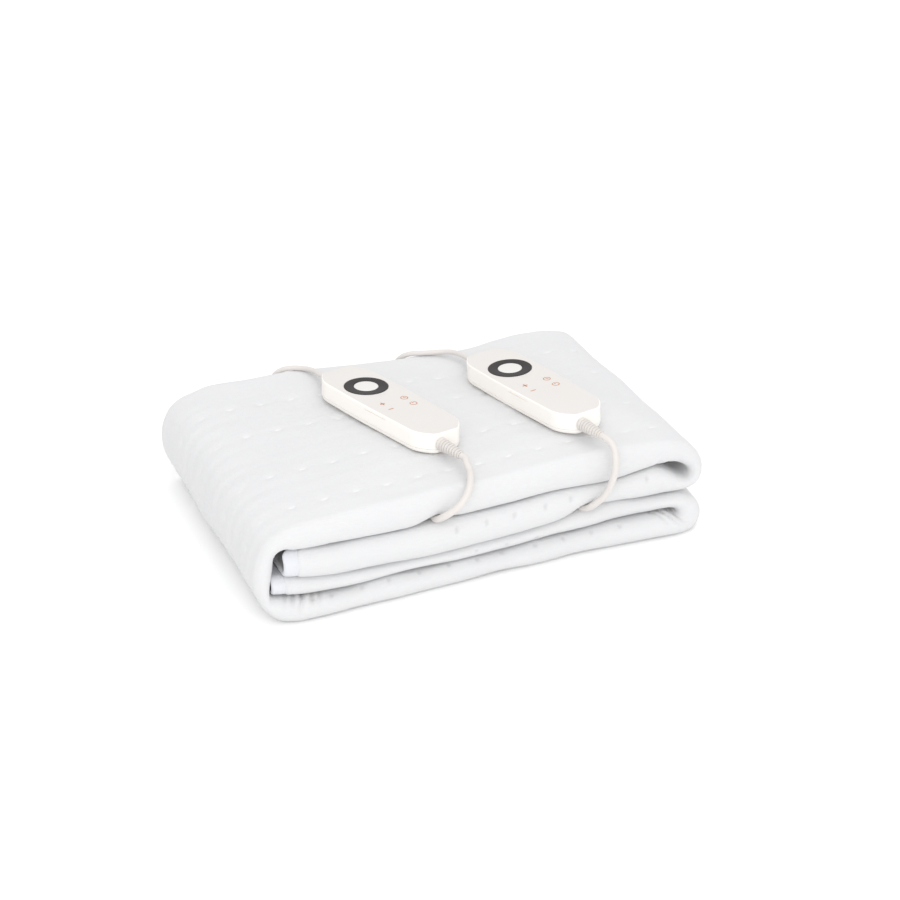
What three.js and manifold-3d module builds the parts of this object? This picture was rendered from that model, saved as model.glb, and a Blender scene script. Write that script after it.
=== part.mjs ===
// A heated mattress pad of white fleece, folded for storage, with its two hand controllers lying on it.
// Millimetres, +Z up, +X along the fold lines, -Y at the rounded front edge. The pad is folded in half twice
// across its width, which gives bands of four layers, and then into four along its length: A on top, D below.
import * as THREE from 'three';
import { mergeVertices } from 'three/addons/utils/BufferGeometryUtils.js';
import Module from 'manifold-3d';

const wasm = await Module();
wasm.setup();

// Driving dimensions. Every x and y below is measured from the first weld spot of the front row.
const PIECE_GAP = 0.3;
const CENTRE = { x: 179.3, y: 84.9 };

// Each band has four layers of cloth. Its middle line is m = 0, and its outer layer is outermost in the folds.
const LAYERS_PER_BAND = 4;
const LAYER_PITCH = 5;
const LAYER_FILL = 0.84;
const HALF_CLOTH = 0.5 * LAYER_PITCH * LAYER_FILL;
const BAND = (LAYERS_PER_BAND - 1) * LAYER_PITCH + 2 * HALF_CLOTH;
const BAND_GAP = 1.2;
const PAD_DEPTH = 254;
const INNER_FOLD_SETBACK = 1;
const LAST_EDGE_SETBACK = 3;
// Distances from the front edge of the lines across the outer layer.
const TOP_LINES = [PAD_DEPTH - 1, 232, 211, 190, 150, 100, 60, 38, 22];

// Heights of the joints between the bands, and of the top, along the front edge.
const LEVELS = [
  { x: 0, cd: 23.6, bc: 42, ab: 65.6, top: 86 },
  { x: 25, cd: 19.6, bc: 37.8, ab: 62.6, top: 87 },
  { x: 55, cd: 17.4, bc: 33.3, ab: 61, top: 88 },
  { x: 95, cd: 18, bc: 31.3, ab: 60, top: 89 },
  { x: 135, cd: 18.4, bc: 30.3, ab: 60, top: 89.5 },
  { x: 200, cd: 17.2, bc: 31.6, ab: 60.8, top: 90 },
  { x: 240, cd: 18, bc: 34.2, ab: 62.2, top: 91 },
  { x: 265, cd: 19, bc: 37.8, ab: 61.7, top: 91.5 },
  { x: 290, cd: 20.6, bc: 40, ab: 60.4, top: 91 },
  { x: 320, cd: 20, bc: 35.8, ab: 62, top: 88 },
  { x: 345, cd: 19.4, bc: 33.5, ab: 63.6, top: 84 },
];
// Heights that the joints ease to inside the stack, and where along X and Y they do so.
const INSIDE = { cd: 20, bc: 40, ab: 62 };
const EASE_X = { leftEnd: 30, left: 80, right: 280, rightEnd: 320 };
const EASE_Y = { front: -28, inside: 15 };
// Crown of the top behind its front edge.
const CROWN = { height: 3, frontY: -20, y: 25, backY: 140, leftX: 30, x: 100 };

// Front edges of the bands, the back edge of the top one, and how far the top sinks towards the back.
const SINK = { height: 86, backY: 200 };
const EDGES = [
  { x: 0, frontA: -33, frontB: -34, frontC: -30, frontD: -38, backA: 214, settle: 4.5 },
  { x: 30, frontA: -36, frontB: -37, frontC: -33, frontD: -40, backA: 216, settle: 6.2 },
  { x: 100, frontA: -37, frontB: -38, frontC: -33, frontD: -39, backA: 211, settle: 7.7 },
  { x: 150, frontA: -37, frontB: -39, frontC: -33, frontD: -39, backA: 206, settle: 9.3 },
  { x: 200, frontA: -37, frontB: -39, frontC: -33, frontD: -39, backA: 200, settle: 11.3 },
  { x: 240, frontA: -37, frontB: -39, frontC: -33, frontD: -39, backA: 196, settle: 12.8 },
  { x: 265, frontA: -37, frontB: -38, frontC: -34, frontD: -40, backA: 194, settle: 12.6 },
  { x: 290, frontA: -36.5, frontB: -37.5, frontC: -34, frontD: -42, backA: 197, settle: 11.6 },
  { x: 320, frontA: -36, frontB: -37, frontC: -34, frontD: -45, backA: 199, settle: 8.6 },
  { x: 375, frontA: -32, frontB: -33, frontC: -35, frontD: -46, backA: 197, settle: 7.4 },
];
const INNER_BACKS = { B: 210, C: 213, D: 209 };

// The folds that join the bands, from one band to the next: the front edge, and the lines inside and outside.
const UPPER_FOLD = [
  { front: -36.2, inX: 334, inZ: 61, outX: 337, outZ: 35 },
  { front: -35.5, inX: 346, inZ: 55, outX: 350, outZ: 34.2 },
  { front: -34.5, inX: 357, inZ: 48, outX: 361, outZ: 35 },
  { front: -33.5, inX: 365, inZ: 45, outX: 369, outZ: 38.4 },
  { front: -32.5, inX: 368, inZ: 48.5, outX: 374, outZ: 46 },
  { front: -32.5, inX: 366.5, inZ: 53.5, outX: 374.5, outZ: 56 },
  { front: -33.5, inX: 361.5, inZ: 57.5, outX: 370.5, outZ: 66 },
  { front: -34.5, inX: 353, inZ: 61.8, outX: 362, outZ: 76 },
  { front: -35.6, inX: 337, inZ: 63.8, outX: 343, outZ: 84.5 },
];
const LEFT_FOLD = [
  { front: -35.7, inX: 18, inZ: 64.4, outX: 16, outZ: 85.5 },
  { front: -35.2, inX: 10.5, inZ: 66.2, outX: 3, outZ: 81 },
  { front: -34.4, inX: 5.6, inZ: 64.6, outX: -6, outZ: 74 },
  { front: -33.2, inX: 2.8, inZ: 60, outX: -11.2, outZ: 63.5 },
  { front: -32, inX: 1.2, inZ: 51, outX: -14, outZ: 50 },
  { front: -31.4, inX: -0.4, inZ: 41, outX: -14, outZ: 36 },
  { front: -31.6, inX: -2.5, inZ: 32, outX: -10.8, outZ: 22.5 },
  { front: -33.6, inX: -2, inZ: 25.6, outX: -5.4, outZ: 11 },
  { front: -36.8, inX: 4, inZ: 22.6, outX: 3.4, outZ: 3 },
  { front: -39.2, inX: 15, inZ: 20.6, outX: 15, outZ: 0 },
];
const LOWER_FOLD = [
  { front: -45.6, inX: 337, inZ: 18.8, outX: 340, outZ: 0 },
  { front: -45.4, inX: 348, inZ: 17.2, outX: 356, outZ: 0 },
  { front: -44, inX: 354, inZ: 15.6, outX: 367, outZ: 4 },
  { front: -41.5, inX: 355.8, inZ: 16.6, outX: 372.5, outZ: 14 },
  { front: -38.5, inX: 354.3, inZ: 18.8, outX: 369, outZ: 24.2 },
  { front: -36.2, inX: 347, inZ: 20.4, outX: 358, outZ: 31 },
  { front: -34.6, inX: 335, inZ: 20.8, outX: 340, outZ: 33.4 },
];
// Ends of the cloth inside the stack, and the columns of each band, in the order of the cloth.
const END_B = 8;
const END_C = 1;
const COLUMNS = {
  A: [320, 292, 270, 257, 244, 220, 192, 165, 147.4, 135.4, 123.4, 95, 60, 30],
  B: [END_B, 20, 45, 80, 123.4, 135.4, 147.4, 165, 192, 220, 251.2, 264.2, 277.2, 292, 320],
  C: [320, 292, 277.2, 264.2, 251.2, 220, 165, 119, 80, 45, 20, END_C],
  D: [30, 60, 105, 155, 210, 258, 290, 320],
};

// Hollows in the underside of a band, in which the pad leads run in over the band below.
const POCKETS = {
  ab: { x: 135.4, halfWidth: 13, rise: 6.4, openTo: -6, closedFrom: 8 },
  bc: { x: 264.2, halfWidth: 13, rise: 6.6, openTo: -6, closedFrom: 8 },
};

// Controllers: the centre of the display on the top face, the turn from -Y towards +X, and the lean.
const CONTROLLERS = {
  left: { x: 138.8, y: 123.4, z: 102.5, turn: 13.8, leanX: 0.055, leanY: 0.089 },
  right: { x: 261.3, y: 104, z: 102.5, turn: 9.5, leanX: -0.012, leanY: 0.1 },
};
const HOUSING = { height: 18, seam: 4.2, bevel: 1.2, rear: 44.5, near: 111, halfWidth: 24.6 };
const HOUSING_CORNERS = [
  { x: 14, y: 44.5, round: 3 },
  { x: 23.8, y: 31, round: 9 },
  { x: 24.6, y: -20, round: 20 },
  { x: 22.6, y: -98, round: 9 },
  { x: 11.5, y: -111, round: 4 },
];
const DISPLAY = { seatRadius: 18.7, seatDepth: 1, ringOuter: 18.4, ringInner: 10.4, windowRadius: 10.1 };
const DENT = { margin: 6, slope: 0.32, run: 25, rest: 0.9 };
const SIDE_SLOT = { toX: -23, fromY: -33, toY: -59, z: 14.5, width: 0.9 };
const FRONT_RELIEF = { x: -6.4, z: 8.6, flangeRadius: 5.6, flange: 3, root: 5.4, tip: 3.8, ribs: 7, bend: 0.2 };
const RIB = { width: 1.5, pitch: 2.64, depth: 0.8 };
const REAR_RELIEF = { x: -4, root: 4.2, tip: 3, length: 12 };

const PAD_LEAD = { diameter: 5.6, sides: 10 };
const MAINS_LEAD = { diameter: 4.4, sides: 8 };
const COIL = { radius: 26, halfBreadth: 9, bottom: 1.5, top: 15.2, cut: 3, segments: 32 };
const TIE = { width: 8, thickness: 1, sideClearance: 1.3, clearance: 0.4 };
const PLUG = { length: 34, halfWidth: 17, rearHalfWidth: 8, shoulder: 16, thickness: 14, bevel: 1.6 };
const PLUG_RELIEF = { length: 10, root: 4.2, tip: 2.8 };
const PIN = { radius: 2, length: 19, nose: 1.5, noseRadius: 1, pitch: 19 };

// Hand-laid routes of the cords, from the controller outwards.
const PAD_LEAD_ROUTES = {
  left: [
    [166.43, -9.14, 101.61], [167.97, -13.02, 101.29], [166.94, -18.4, 100.19], [166.5, -25.2, 97.2],
    [163.7, -33.5, 95.2], [159.6, -40.8, 91.8], [154.4, -44.9, 86.2], [147.8, -46.4, 80.2],
    [141.6, -45, 75.2], [137.1, -41.7, 70.8], [134.9, -37, 66.8], [134.5, -31, 63.8], [135, -24, 62.9],
    [135.4, -18, 62.9],
  ],
  right: [
    [279.01, -30.21, 104.98], [280.27, -34.19, 104.8], [282.55, -39.2, 103.17], [284, -44, 98.4],
    [283.6, -47.4, 92.2], [282.9, -49.2, 85.5], [281.9, -49.6, 77.8], [279.7, -49.2, 69.9],
    [277.2, -47.8, 62], [273.4, -45.2, 55], [269.6, -42.2, 49.6], [266.4, -38.6, 45], [264.7, -33.6, 42],
    [264.2, -28, 40.4], [264.2, -21, 40.6], [264.2, -14, 41],
  ],
};
const MAINS_LEAD_ROUTES = {
  left: [
    [120.47, 176.89, 88.69], [118.69, 183.95, 88.16], [118, 191.6, 86.8], [115.2, 199.6, 85.4],
    [110.8, 205.4, 84.3], [105.4, 209, 83.8], [100.2, 211.6, 83.2], [96.6, 214.2, 80.6], [94.8, 216, 75.4],
    [94.2, 217.6, 67.6], [94.4, 218.8, 58], [95, 219.6, 46], [95.8, 219.8, 33], [96.4, 219.8, 21],
    [98.7, 220.6, 11.8], [104.9, 222.9, 5.1], [113.3, 225.9, 2.7], [118, 226.5, 2.7], [121.7, 226.2, 2.7],
  ],
  right: [
    [248.05, 158.47, 86.84], [246.85, 165.64, 86.11], [245.2, 173.4, 85.1], [241.2, 181.6, 83.8],
    [234.2, 187.8, 82.3], [226, 191.8, 81.3], [217.6, 195, 80.9], [211.2, 198.6, 80.6], [206.8, 202, 78.6],
    [205.2, 205, 74.4], [205.2, 207.6, 67.6], [207.2, 211, 59.6], [211.2, 214.6, 50.6], [216.6, 217.4, 42],
    [223.2, 219.2, 33.4], [230.6, 220, 24.6], [237.6, 220.8, 14.6], [244.6, 222.3, 6.6], [254, 225.5, 2.9],
    [260, 226.5, 2.7], [263.7, 226.2, 2.7],
  ],
};
const COIL_CENTRES = { left: { x: 130, y: 262 }, right: { x: 272, y: 262 } };
const TAIL_OFFSETS = [[19, -32.4, 7.8], [24.6, -29, 7.6], [31.6, -26.6, 7.2], [39.5, -26, 7]];
const PLUG_OFFSET = { x: 50, y: -26 };

// Materials, in the colours of the real object.
const MATERIALS = {
  fleece: { color: 0xf1f1f3, roughness: 0.95, metalness: 0 },
  ivory: { color: 0xf3ece2, roughness: 0.45, metalness: 0 },
  charcoal: { color: 0x3a3638, roughness: 0.35, metalness: 0 },
  window: { color: 0xe9e5df, roughness: 0.25, metalness: 0 },
  cord: { color: 0xf2eadf, roughness: 0.5, metalness: 0 },
  tie: { color: 0xe9e6e0, roughness: 0.6, metalness: 0 },
  brass: { color: 0xc9c4b4, roughness: 0.3, metalness: 1 },
};

// Shared geometry.
const column = (table, name) => table.map((row) => row[name]);

/** Smooth curve through a table's rows. Its slope at a row is that of the line between the row's neighbours. */
function along(table, name, x) {
  const xs = column(table, 'x');
  const ys = column(table, name);
  const last = xs.length - 1;
  const slope = (k) => {
    const a = Math.max(k - 1, 0);
    const b = Math.min(k + 1, last);
    return (ys[b] - ys[a]) / (xs[b] - xs[a]);
  };
  const at = THREE.MathUtils.clamp(x, xs[0], xs[last]);
  let i = 0;
  while (i < last - 1 && at > xs[i + 1]) i += 1;
  const h = xs[i + 1] - xs[i];
  const t = (at - xs[i]) / h;
  const rise = (3 - 2 * t) * t * t;
  return ys[i] * (1 - rise) + ys[i + 1] * rise + h * t * (1 - t) * (slope(i) * (1 - t) - slope(i + 1) * t);
}

function surfaceGeometry(points, faces) {
  const geometry = new THREE.BufferGeometry();
  geometry.setAttribute('position', new THREE.Float32BufferAttribute(points.flat(), 3));
  geometry.setIndex(faces.flat());
  return geometry;
}

function namedMesh(name, geometry, material) {
  const mesh = new THREE.Mesh(geometry, new THREE.MeshStandardMaterial(MATERIALS[material]));
  mesh.name = name;
  return mesh;
}

function toSolid(geometry) {
  const bare = geometry.clone();
  bare.deleteAttribute('normal');
  bare.deleteAttribute('uv');
  const merged = mergeVertices(bare, 1e-3);
  return new wasm.Manifold(new wasm.Mesh({
    numProp: 3,
    vertProperties: new Float32Array(merged.attributes.position.array),
    triVerts: new Uint32Array(merged.index.array),
  }));
}

function fromSolid(solid) {
  const mesh = solid.getMesh();
  const geometry = new THREE.BufferGeometry();
  geometry.setAttribute('position', new THREE.BufferAttribute(mesh.vertProperties, 3));
  geometry.setIndex(new THREE.BufferAttribute(mesh.triVerts, 1));
  return geometry;
}

// The pad.

/** The controllers' frames: across, towards the rear, and out of the top face. The display is at the rear. */
function controllerFrame(side) {
  const c = CONTROLLERS[side];
  const turn = THREE.MathUtils.degToRad(c.turn);
  const up = new THREE.Vector3(c.leanX, c.leanY, 1).normalize();
  const rear = new THREE.Vector3(-Math.sin(turn), Math.cos(turn), 0);
  rear.addScaledVector(up, -rear.dot(up)).normalize();
  const across = new THREE.Vector3().crossVectors(rear, up);
  const foot = new THREE.Vector3(c.x, c.y, c.z).addScaledVector(up, -HOUSING.height);
  return { across, rear, up, foot };
}
const FRAMES = { left: controllerFrame('left'), right: controllerFrame('right') };

/** Height that the cloth may reach near a controller: its base plane, which rises outside its outline. */
function dentHeight(side, x, y) {
  const { across, rear, up, foot } = FRAMES[side];
  const dx = x - foot.x;
  const dy = y - foot.y;
  const plane = foot.z - (dx * up.x + dy * up.y) / up.z;
  const u = dx * across.x + dy * across.y;
  const v = dx * rear.x + dy * rear.y;
  const { margin, slope, run, rest } = DENT;
  const outU = Math.max(Math.abs(u) - HOUSING.halfWidth - margin, 0);
  const outV = Math.max(v - HOUSING.rear - margin, -v - HOUSING.near - margin, 0);
  const out = Math.hypot(outU, outV);
  return plane - rest + (slope * out * out) / (out + run);
}

function softMinimum(a, b, blend) {
  const t = THREE.MathUtils.clamp(0.5 + (b - a) / (2 * blend), 0, 1);
  return b * (1 - t) + a * t - blend * t * (1 - t);
}

function settled(x, y) {
  return 1 - (along(EDGES, 'settle', x) * THREE.MathUtils.smoothstep(y, 0, SINK.backY)) / SINK.height;
}

/** Height of a joint between two bands: its front height, easing to its inside height behind the edge. */
function joint(name, x, y) {
  const { smoothstep } = THREE.MathUtils;
  const front = along(LEVELS, name, x);
  const middle = smoothstep(x, EASE_X.leftEnd, EASE_X.left) - smoothstep(x, EASE_X.right, EASE_X.rightEnd);
  const inside = smoothstep(y, EASE_Y.front, EASE_Y.inside) * middle;
  return (front + inside * (INSIDE[name] - front)) * settled(x, y);
}

function topHeight(x, y) {
  const { smoothstep } = THREE.MathUtils;
  const crown = smoothstep(y, CROWN.frontY, CROWN.y) * (1 - smoothstep(y, CROWN.y, CROWN.backY));
  let z = along(LEVELS, 'top', x) * settled(x, y) + CROWN.height * crown * smoothstep(x, CROWN.leftX, CROWN.x);
  for (const side of ['left', 'right']) z = softMinimum(z, dentHeight(side, x, y), 1);
  return z;
}

/** The way up from a joint to the band above it, which is further where a pad lead runs in. */
function gapAbove(name, x, y) {
  const pocket = POCKETS[name];
  if (!pocket) return BAND_GAP / 2;
  const near = Math.exp(-(((x - pocket.x) / pocket.halfWidth) ** 2));
  const open = 1 - THREE.MathUtils.smoothstep(y, pocket.openTo, pocket.closedFrom);
  return BAND_GAP / 2 + pocket.rise * near * open;
}

/** Inner and outer faces of each band at (x, y). The outer face is the one outside the folds. */
const BAND_FACES = {
  A: (x, y) => [joint('ab', x, y) + gapAbove('ab', x, y), topHeight(x, y)],
  B: (x, y) => [joint('ab', x, y) - BAND_GAP / 2, joint('bc', x, y) + gapAbove('bc', x, y)],
  C: (x, y) => [joint('cd', x, y) + gapAbove('cd', x, y), joint('bc', x, y) - BAND_GAP / 2],
  D: (x, y) => [joint('cd', x, y) - BAND_GAP / 2, 0],
};

const frontEdge = (band, x) => along(EDGES, `front${band}`, x);
const backEdge = (band, x) => (band === 'A' ? along(EDGES, 'backA', x) : INNER_BACKS[band]);

function bandStations(band) {
  return COLUMNS[band].map((x) => ({
    front: frontEdge(band, x),
    back: backEdge(band, x),
    lines: (y) => {
      const [inner, outer] = BAND_FACES[band](x, y);
      return { inX: x, inZ: inner, outX: x, outZ: outer };
    },
  }));
}

function foldStations(table, from, to, x) {
  return table.map((row, i) => ({
    front: row.front,
    back: THREE.MathUtils.lerp(backEdge(from, x), backEdge(to, x), (i + 1) / (table.length + 1)),
    lines: (y) => ({
      inX: row.inX,
      inZ: row.inZ * settled(row.inX, y),
      outX: row.outX,
      outZ: row.outZ * settled(row.outX, y),
    }),
  }));
}

/** The pad's length: B to the right, over the upper fold, back as A, round the left fold, D, and back as C. */
function padStations() {
  return [
    ...bandStations('B'),
    ...foldStations(UPPER_FOLD, 'B', 'A', 375),
    ...bandStations('A'),
    ...foldStations(LEFT_FOLD, 'A', 'D', 0),
    ...bandStations('D'),
    ...foldStations(LOWER_FOLD, 'D', 'C', 375),
    ...bandStations('C'),
  ];
}

/** The pad's width inside a band: the outer layer to the front, round it, back, and an inner pair of layers. */
function widthPath() {
  const outer = 1.5 * LAYER_PITCH;
  const inner = 0.5 * LAYER_PITCH;
  const outerTurn = outer + HALF_CLOTH;
  const innerTurn = outerTurn + INNER_FOLD_SETBACK;
  const backTurn = PAD_DEPTH - inner - HALF_CLOTH;
  const lastEdge = PAD_DEPTH - LAST_EDGE_SETBACK;
  const path = [];
  const run = (from, to, m, nm, steps) => {
    for (let i = 0; i < steps; i += 1) path.push({ q: from + ((to - from) * i) / steps, m, nq: 0, nm });
  };
  const turn = (centre, from, to, way, side, steps) => {
    const radius = Math.abs(from - to) / 2;
    for (let i = 0; i < steps; i += 1) {
      const a = (Math.PI * i) / steps;
      const nq = -way * Math.sin(a);
      const nm = Math.sign(from - to) * Math.cos(a);
      path.push({ q: centre + radius * nq, m: (from + to) / 2 + radius * nm, nq: nq * side, nm: nm * side });
    }
  };
  TOP_LINES.forEach((q) => path.push({ q, m: outer, nq: 0, nm: 1 }));
  turn(outerTurn, outer, -outer, 1, 1, 6);
  run(outerTurn, backTurn, -outer, -1, 3);
  turn(backTurn, -outer, -inner, -1, 1, 3);
  run(backTurn, innerTurn, -inner, 1, 3);
  turn(innerTurn, -inner, inner, 1, -1, 3);
  run(innerTurn, lastEdge, inner, -1, 3);
  path.push({ q: lastEdge, m: inner, nq: 0, nm: -1 });
  return path;
}

function padPoint(station, q, m) {
  const y = station.front + (q * (station.back - station.front)) / PAD_DEPTH;
  const { inX, inZ, outX, outZ } = station.lines(y);
  const t = 0.5 + m / BAND;
  return [inX + (outX - inX) * t, y, inZ + (outZ - inZ) * t];
}

/** Closed grid: the two faces of the cloth, its two hemmed ends and its two hemmed sides. */
function padGeometry() {
  const stations = padStations();
  const path = widthPath();
  const across = path.length;
  const points = [];
  for (const side of [1, -1]) {
    for (const station of stations) {
      for (const p of path) {
        points.push(padPoint(station, p.q + side * HALF_CLOTH * p.nq, p.m + side * HALF_CLOTH * p.nm));
      }
    }
  }
  const under = stations.length * across;
  const faces = [];
  const quad = (a, b, c, d) => faces.push([a, c, b], [a, d, c]);
  for (let i = 0; i < stations.length - 1; i += 1) {
    for (let j = 0; j < across - 1; j += 1) {
      const a = i * across + j;
      const b = a + across;
      quad(a, a + 1, b + 1, b);
      quad(under + a, under + b, under + b + 1, under + a + 1);
    }
    const first = i * across;
    const last = first + across - 1;
    quad(first, first + across, under + first + across, under + first);
    quad(last, under + last, under + last + across, last + across);
  }
  const end = (stations.length - 1) * across;
  for (let j = 0; j < across - 1; j += 1) {
    quad(j, under + j, under + j + 1, j + 1);
    quad(end + j, end + j + 1, under + end + j + 1, under + end + j);
  }
  return surfaceGeometry(points, faces);
}

// The controllers.

/** Closed outline with a rounded corner at each row, the left half mirrored from the right. */
function roundedOutline(rows) {
  const corners = [...rows, ...[...rows].reverse().map((row) => ({ ...row, x: -row.x }))].reverse();
  const shape = new THREE.Shape();
  corners.forEach((corner, i) => {
    const before = corners[(i + corners.length - 1) % corners.length];
    const after = corners[(i + 1) % corners.length];
    const start = new THREE.Vector2(before.x - corner.x, before.y - corner.y).setLength(corner.round);
    const finish = new THREE.Vector2(after.x - corner.x, after.y - corner.y).setLength(corner.round);
    if (i === 0) shape.moveTo(corner.x + start.x, corner.y + start.y);
    else shape.lineTo(corner.x + start.x, corner.y + start.y);
    shape.quadraticCurveTo(corner.x, corner.y, corner.x + finish.x, corner.y + finish.y);
  });
  shape.closePath();
  return shape;
}

function latheUp(profile, segments) {
  const geometry = new THREE.LatheGeometry(profile.map(([r, z]) => new THREE.Vector2(r, z)), segments);
  return geometry.rotateX(Math.PI / 2);
}

function box(x0, x1, y0, y1, z0, z1) {
  const geometry = new THREE.BoxGeometry(x1 - x0, y1 - y0, z1 - z0);
  return geometry.translate((x0 + x1) / 2, (y0 + y1) / 2, (z0 + z1) / 2);
}

function housingShells() {
  const { height, seam, bevel } = HOUSING;
  const body = new THREE.ExtrudeGeometry(roundedOutline(HOUSING_CORNERS), {
    depth: height - 2 * bevel,
    bevelThickness: bevel,
    bevelSize: bevel,
    bevelOffset: -bevel,
    bevelSegments: 2,
    curveSegments: 3,
  }).translate(0, 0, bevel);
  const solid = toSolid(body);
  const half = PIECE_GAP / 2;
  const base = solid.intersect(toSolid(box(-40, 40, -130, 60, -1, seam - half)));
  const { toX, fromY, toY, z, width } = SIDE_SLOT;
  const groove = box(-26, toX, toY, fromY, z - width / 2, z + width / 2);
  const seat = latheUp([[0, 0], [DISPLAY.seatRadius, 0], [DISPLAY.seatRadius, 5], [0, 5]], 32);
  const top = solid
    .intersect(toSolid(box(-40, 40, -130, 60, seam + half, height + 1)))
    .subtract(toSolid(seat.translate(0, 0, height - DISPLAY.seatDepth)))
    .subtract(toSolid(groove));
  return { top: fromSolid(top), base: fromSolid(base) };
}

function displayPieces() {
  const floor = HOUSING.height - DISPLAY.seatDepth + PIECE_GAP;
  const face = HOUSING.height + 0.1;
  const { ringOuter, ringInner, windowRadius } = DISPLAY;
  const ring = latheUp([
    [ringInner, floor], [ringOuter, floor], [ringOuter, face], [ringInner, face], [ringInner, floor],
  ], 32);
  const window = latheUp([[0, floor], [windowRadius, floor], [windowRadius, face], [0, face + 0.3]], 24);
  return { ring, window };
}

/** Bends a piece that stands along +Y, from y = 0, evenly towards -Z over its length. */
function bendDown(geometry, length, angle) {
  const radius = length / angle;
  const position = geometry.attributes.position;
  for (let i = 0; i < position.count; i += 1) {
    const a = (position.getY(i) / length) * angle;
    const reach = radius + position.getZ(i);
    position.setY(i, reach * Math.sin(a));
    position.setZ(i, reach * Math.cos(a) - radius);
  }
  return geometry;
}

/** Ribbed strain relief, from its flange to its tip, standing along +Y. */
function frontReliefProfile() {
  const { flangeRadius, flange, root, tip, ribs } = FRONT_RELIEF;
  const profile = [[0, 0], [flangeRadius, 0], [flangeRadius, flange], [root - RIB.depth, flange + 0.8]];
  for (let i = 0; i < ribs; i += 1) {
    const radius = THREE.MathUtils.lerp(root, tip, i / (ribs - 1));
    const y = flange + 1.1 + i * RIB.pitch;
    profile.push([radius, y], [radius, y + RIB.width], [radius - RIB.depth, y + RIB.width + 0.3]);
  }
  const end = flange + 0.8 + ribs * RIB.pitch + 1;
  profile.push([tip - RIB.depth, end], [0, end]);
  return profile;
}

function reliefPieces() {
  const profile = frontReliefProfile();
  const length = profile[profile.length - 1][1];
  const lathe = new THREE.LatheGeometry(profile.map(([x, y]) => new THREE.Vector2(x, y)), 10);
  const front = bendDown(lathe, length, FRONT_RELIEF.bend).rotateY(Math.PI / 4).rotateZ(Math.PI);
  front.translate(FRONT_RELIEF.x, -HOUSING.near - PIECE_GAP, FRONT_RELIEF.z);
  const r = REAR_RELIEF;
  const cone = [[0, 0], [r.root, 0], [r.root, 3], [r.tip, r.length], [0, r.length]];
  const rear = new THREE.LatheGeometry(cone.map(([x, y]) => new THREE.Vector2(x, y)), 12);
  rear.translate(r.x, HOUSING.rear + PIECE_GAP, HOUSING.height / 2 - 1);
  return { front, rear };
}

function controller(side) {
  const { across, rear, up, foot } = FRAMES[side];
  const group = new THREE.Group();
  const shells = housingShells();
  const display = displayPieces();
  const reliefs = reliefPieces();
  group.add(
    namedMesh(`controller_${side}_top_shell`, shells.top, 'ivory'),
    namedMesh(`controller_${side}_base_shell`, shells.base, 'ivory'),
    namedMesh(`controller_${side}_display_ring`, display.ring, 'charcoal'),
    namedMesh(`controller_${side}_display_window`, display.window, 'window'),
    namedMesh(`controller_${side}_front_relief`, reliefs.front, 'cord'),
    namedMesh(`controller_${side}_rear_relief`, reliefs.rear, 'cord'),
  );
  group.quaternion.setFromRotationMatrix(new THREE.Matrix4().makeBasis(across, rear, up));
  group.position.copy(foot);
  return group;
}

// The cords, with the coil, tie and plug of each mains lead.

function tube(route, { diameter, sides }, steps) {
  const section = new THREE.Shape();
  for (let i = 0; i < sides; i += 1) {
    const a = (2 * Math.PI * i) / sides;
    const [x, y] = [(diameter / 2) * Math.cos(a), (diameter / 2) * Math.sin(a)];
    if (i === 0) section.moveTo(x, y);
    else section.lineTo(x, y);
  }
  section.closePath();
  const extrudePath = new THREE.CatmullRomCurve3(route.map((p) => new THREE.Vector3(...p)));
  return new THREE.ExtrudeGeometry(section, { steps, extrudePath, bevelEnabled: false });
}

/** Closed ring that the turns of a coil fill, with chamfered corners. */
function coilGeometry() {
  const { radius, halfBreadth, bottom, top, cut, segments } = COIL;
  const [inside, outside] = [radius - halfBreadth, radius + halfBreadth];
  return latheUp([
    [inside, bottom + cut], [inside + cut, bottom], [outside - cut, bottom], [outside, bottom + cut],
    [outside, top - cut], [outside - cut, top], [inside + cut, top], [inside, top - cut],
    [inside, bottom + cut],
  ], segments);
}

/** Flat strap round the coil on its far side, lying along X, under and over the turns. */
function tieGeometry() {
  const { width, thickness, sideClearance, clearance } = TIE;
  const inner = COIL.halfBreadth + sideClearance;
  const outer = inner + thickness;
  const [low, high] = [COIL.bottom - clearance, COIL.top + clearance];
  const section = new THREE.Shape();
  section.moveTo(-outer, low - thickness);
  section.lineTo(outer, low - thickness);
  section.lineTo(outer, high + thickness);
  section.lineTo(-outer, high + thickness);
  section.closePath();
  const hole = new THREE.Path();
  hole.moveTo(-inner, low);
  hole.lineTo(-inner, high);
  hole.lineTo(inner, high);
  hole.lineTo(inner, low);
  hole.closePath();
  section.holes.push(hole);
  const strap = new THREE.ExtrudeGeometry(section, { depth: width, bevelEnabled: false });
  strap.translate(0, 0, -width / 2).rotateX(Math.PI / 2).rotateZ(Math.PI / 2);
  return strap.translate(0, COIL.radius, 0);
}

function plugBody() {
  const { length, halfWidth, rearHalfWidth, shoulder, thickness, bevel } = PLUG;
  const outline = new THREE.Shape();
  outline.moveTo(0, -rearHalfWidth);
  outline.quadraticCurveTo(shoulder / 2, -rearHalfWidth, shoulder, -halfWidth);
  outline.lineTo(length, -halfWidth);
  outline.lineTo(length, halfWidth);
  outline.lineTo(shoulder, halfWidth);
  outline.quadraticCurveTo(shoulder / 2, rearHalfWidth, 0, rearHalfWidth);
  outline.closePath();
  return new THREE.ExtrudeGeometry(outline, {
    depth: thickness - 2 * bevel,
    bevelThickness: bevel,
    bevelSize: bevel,
    bevelOffset: -bevel,
    bevelSegments: 2,
    curveSegments: 4,
  }).translate(0, 0, bevel);
}

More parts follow.
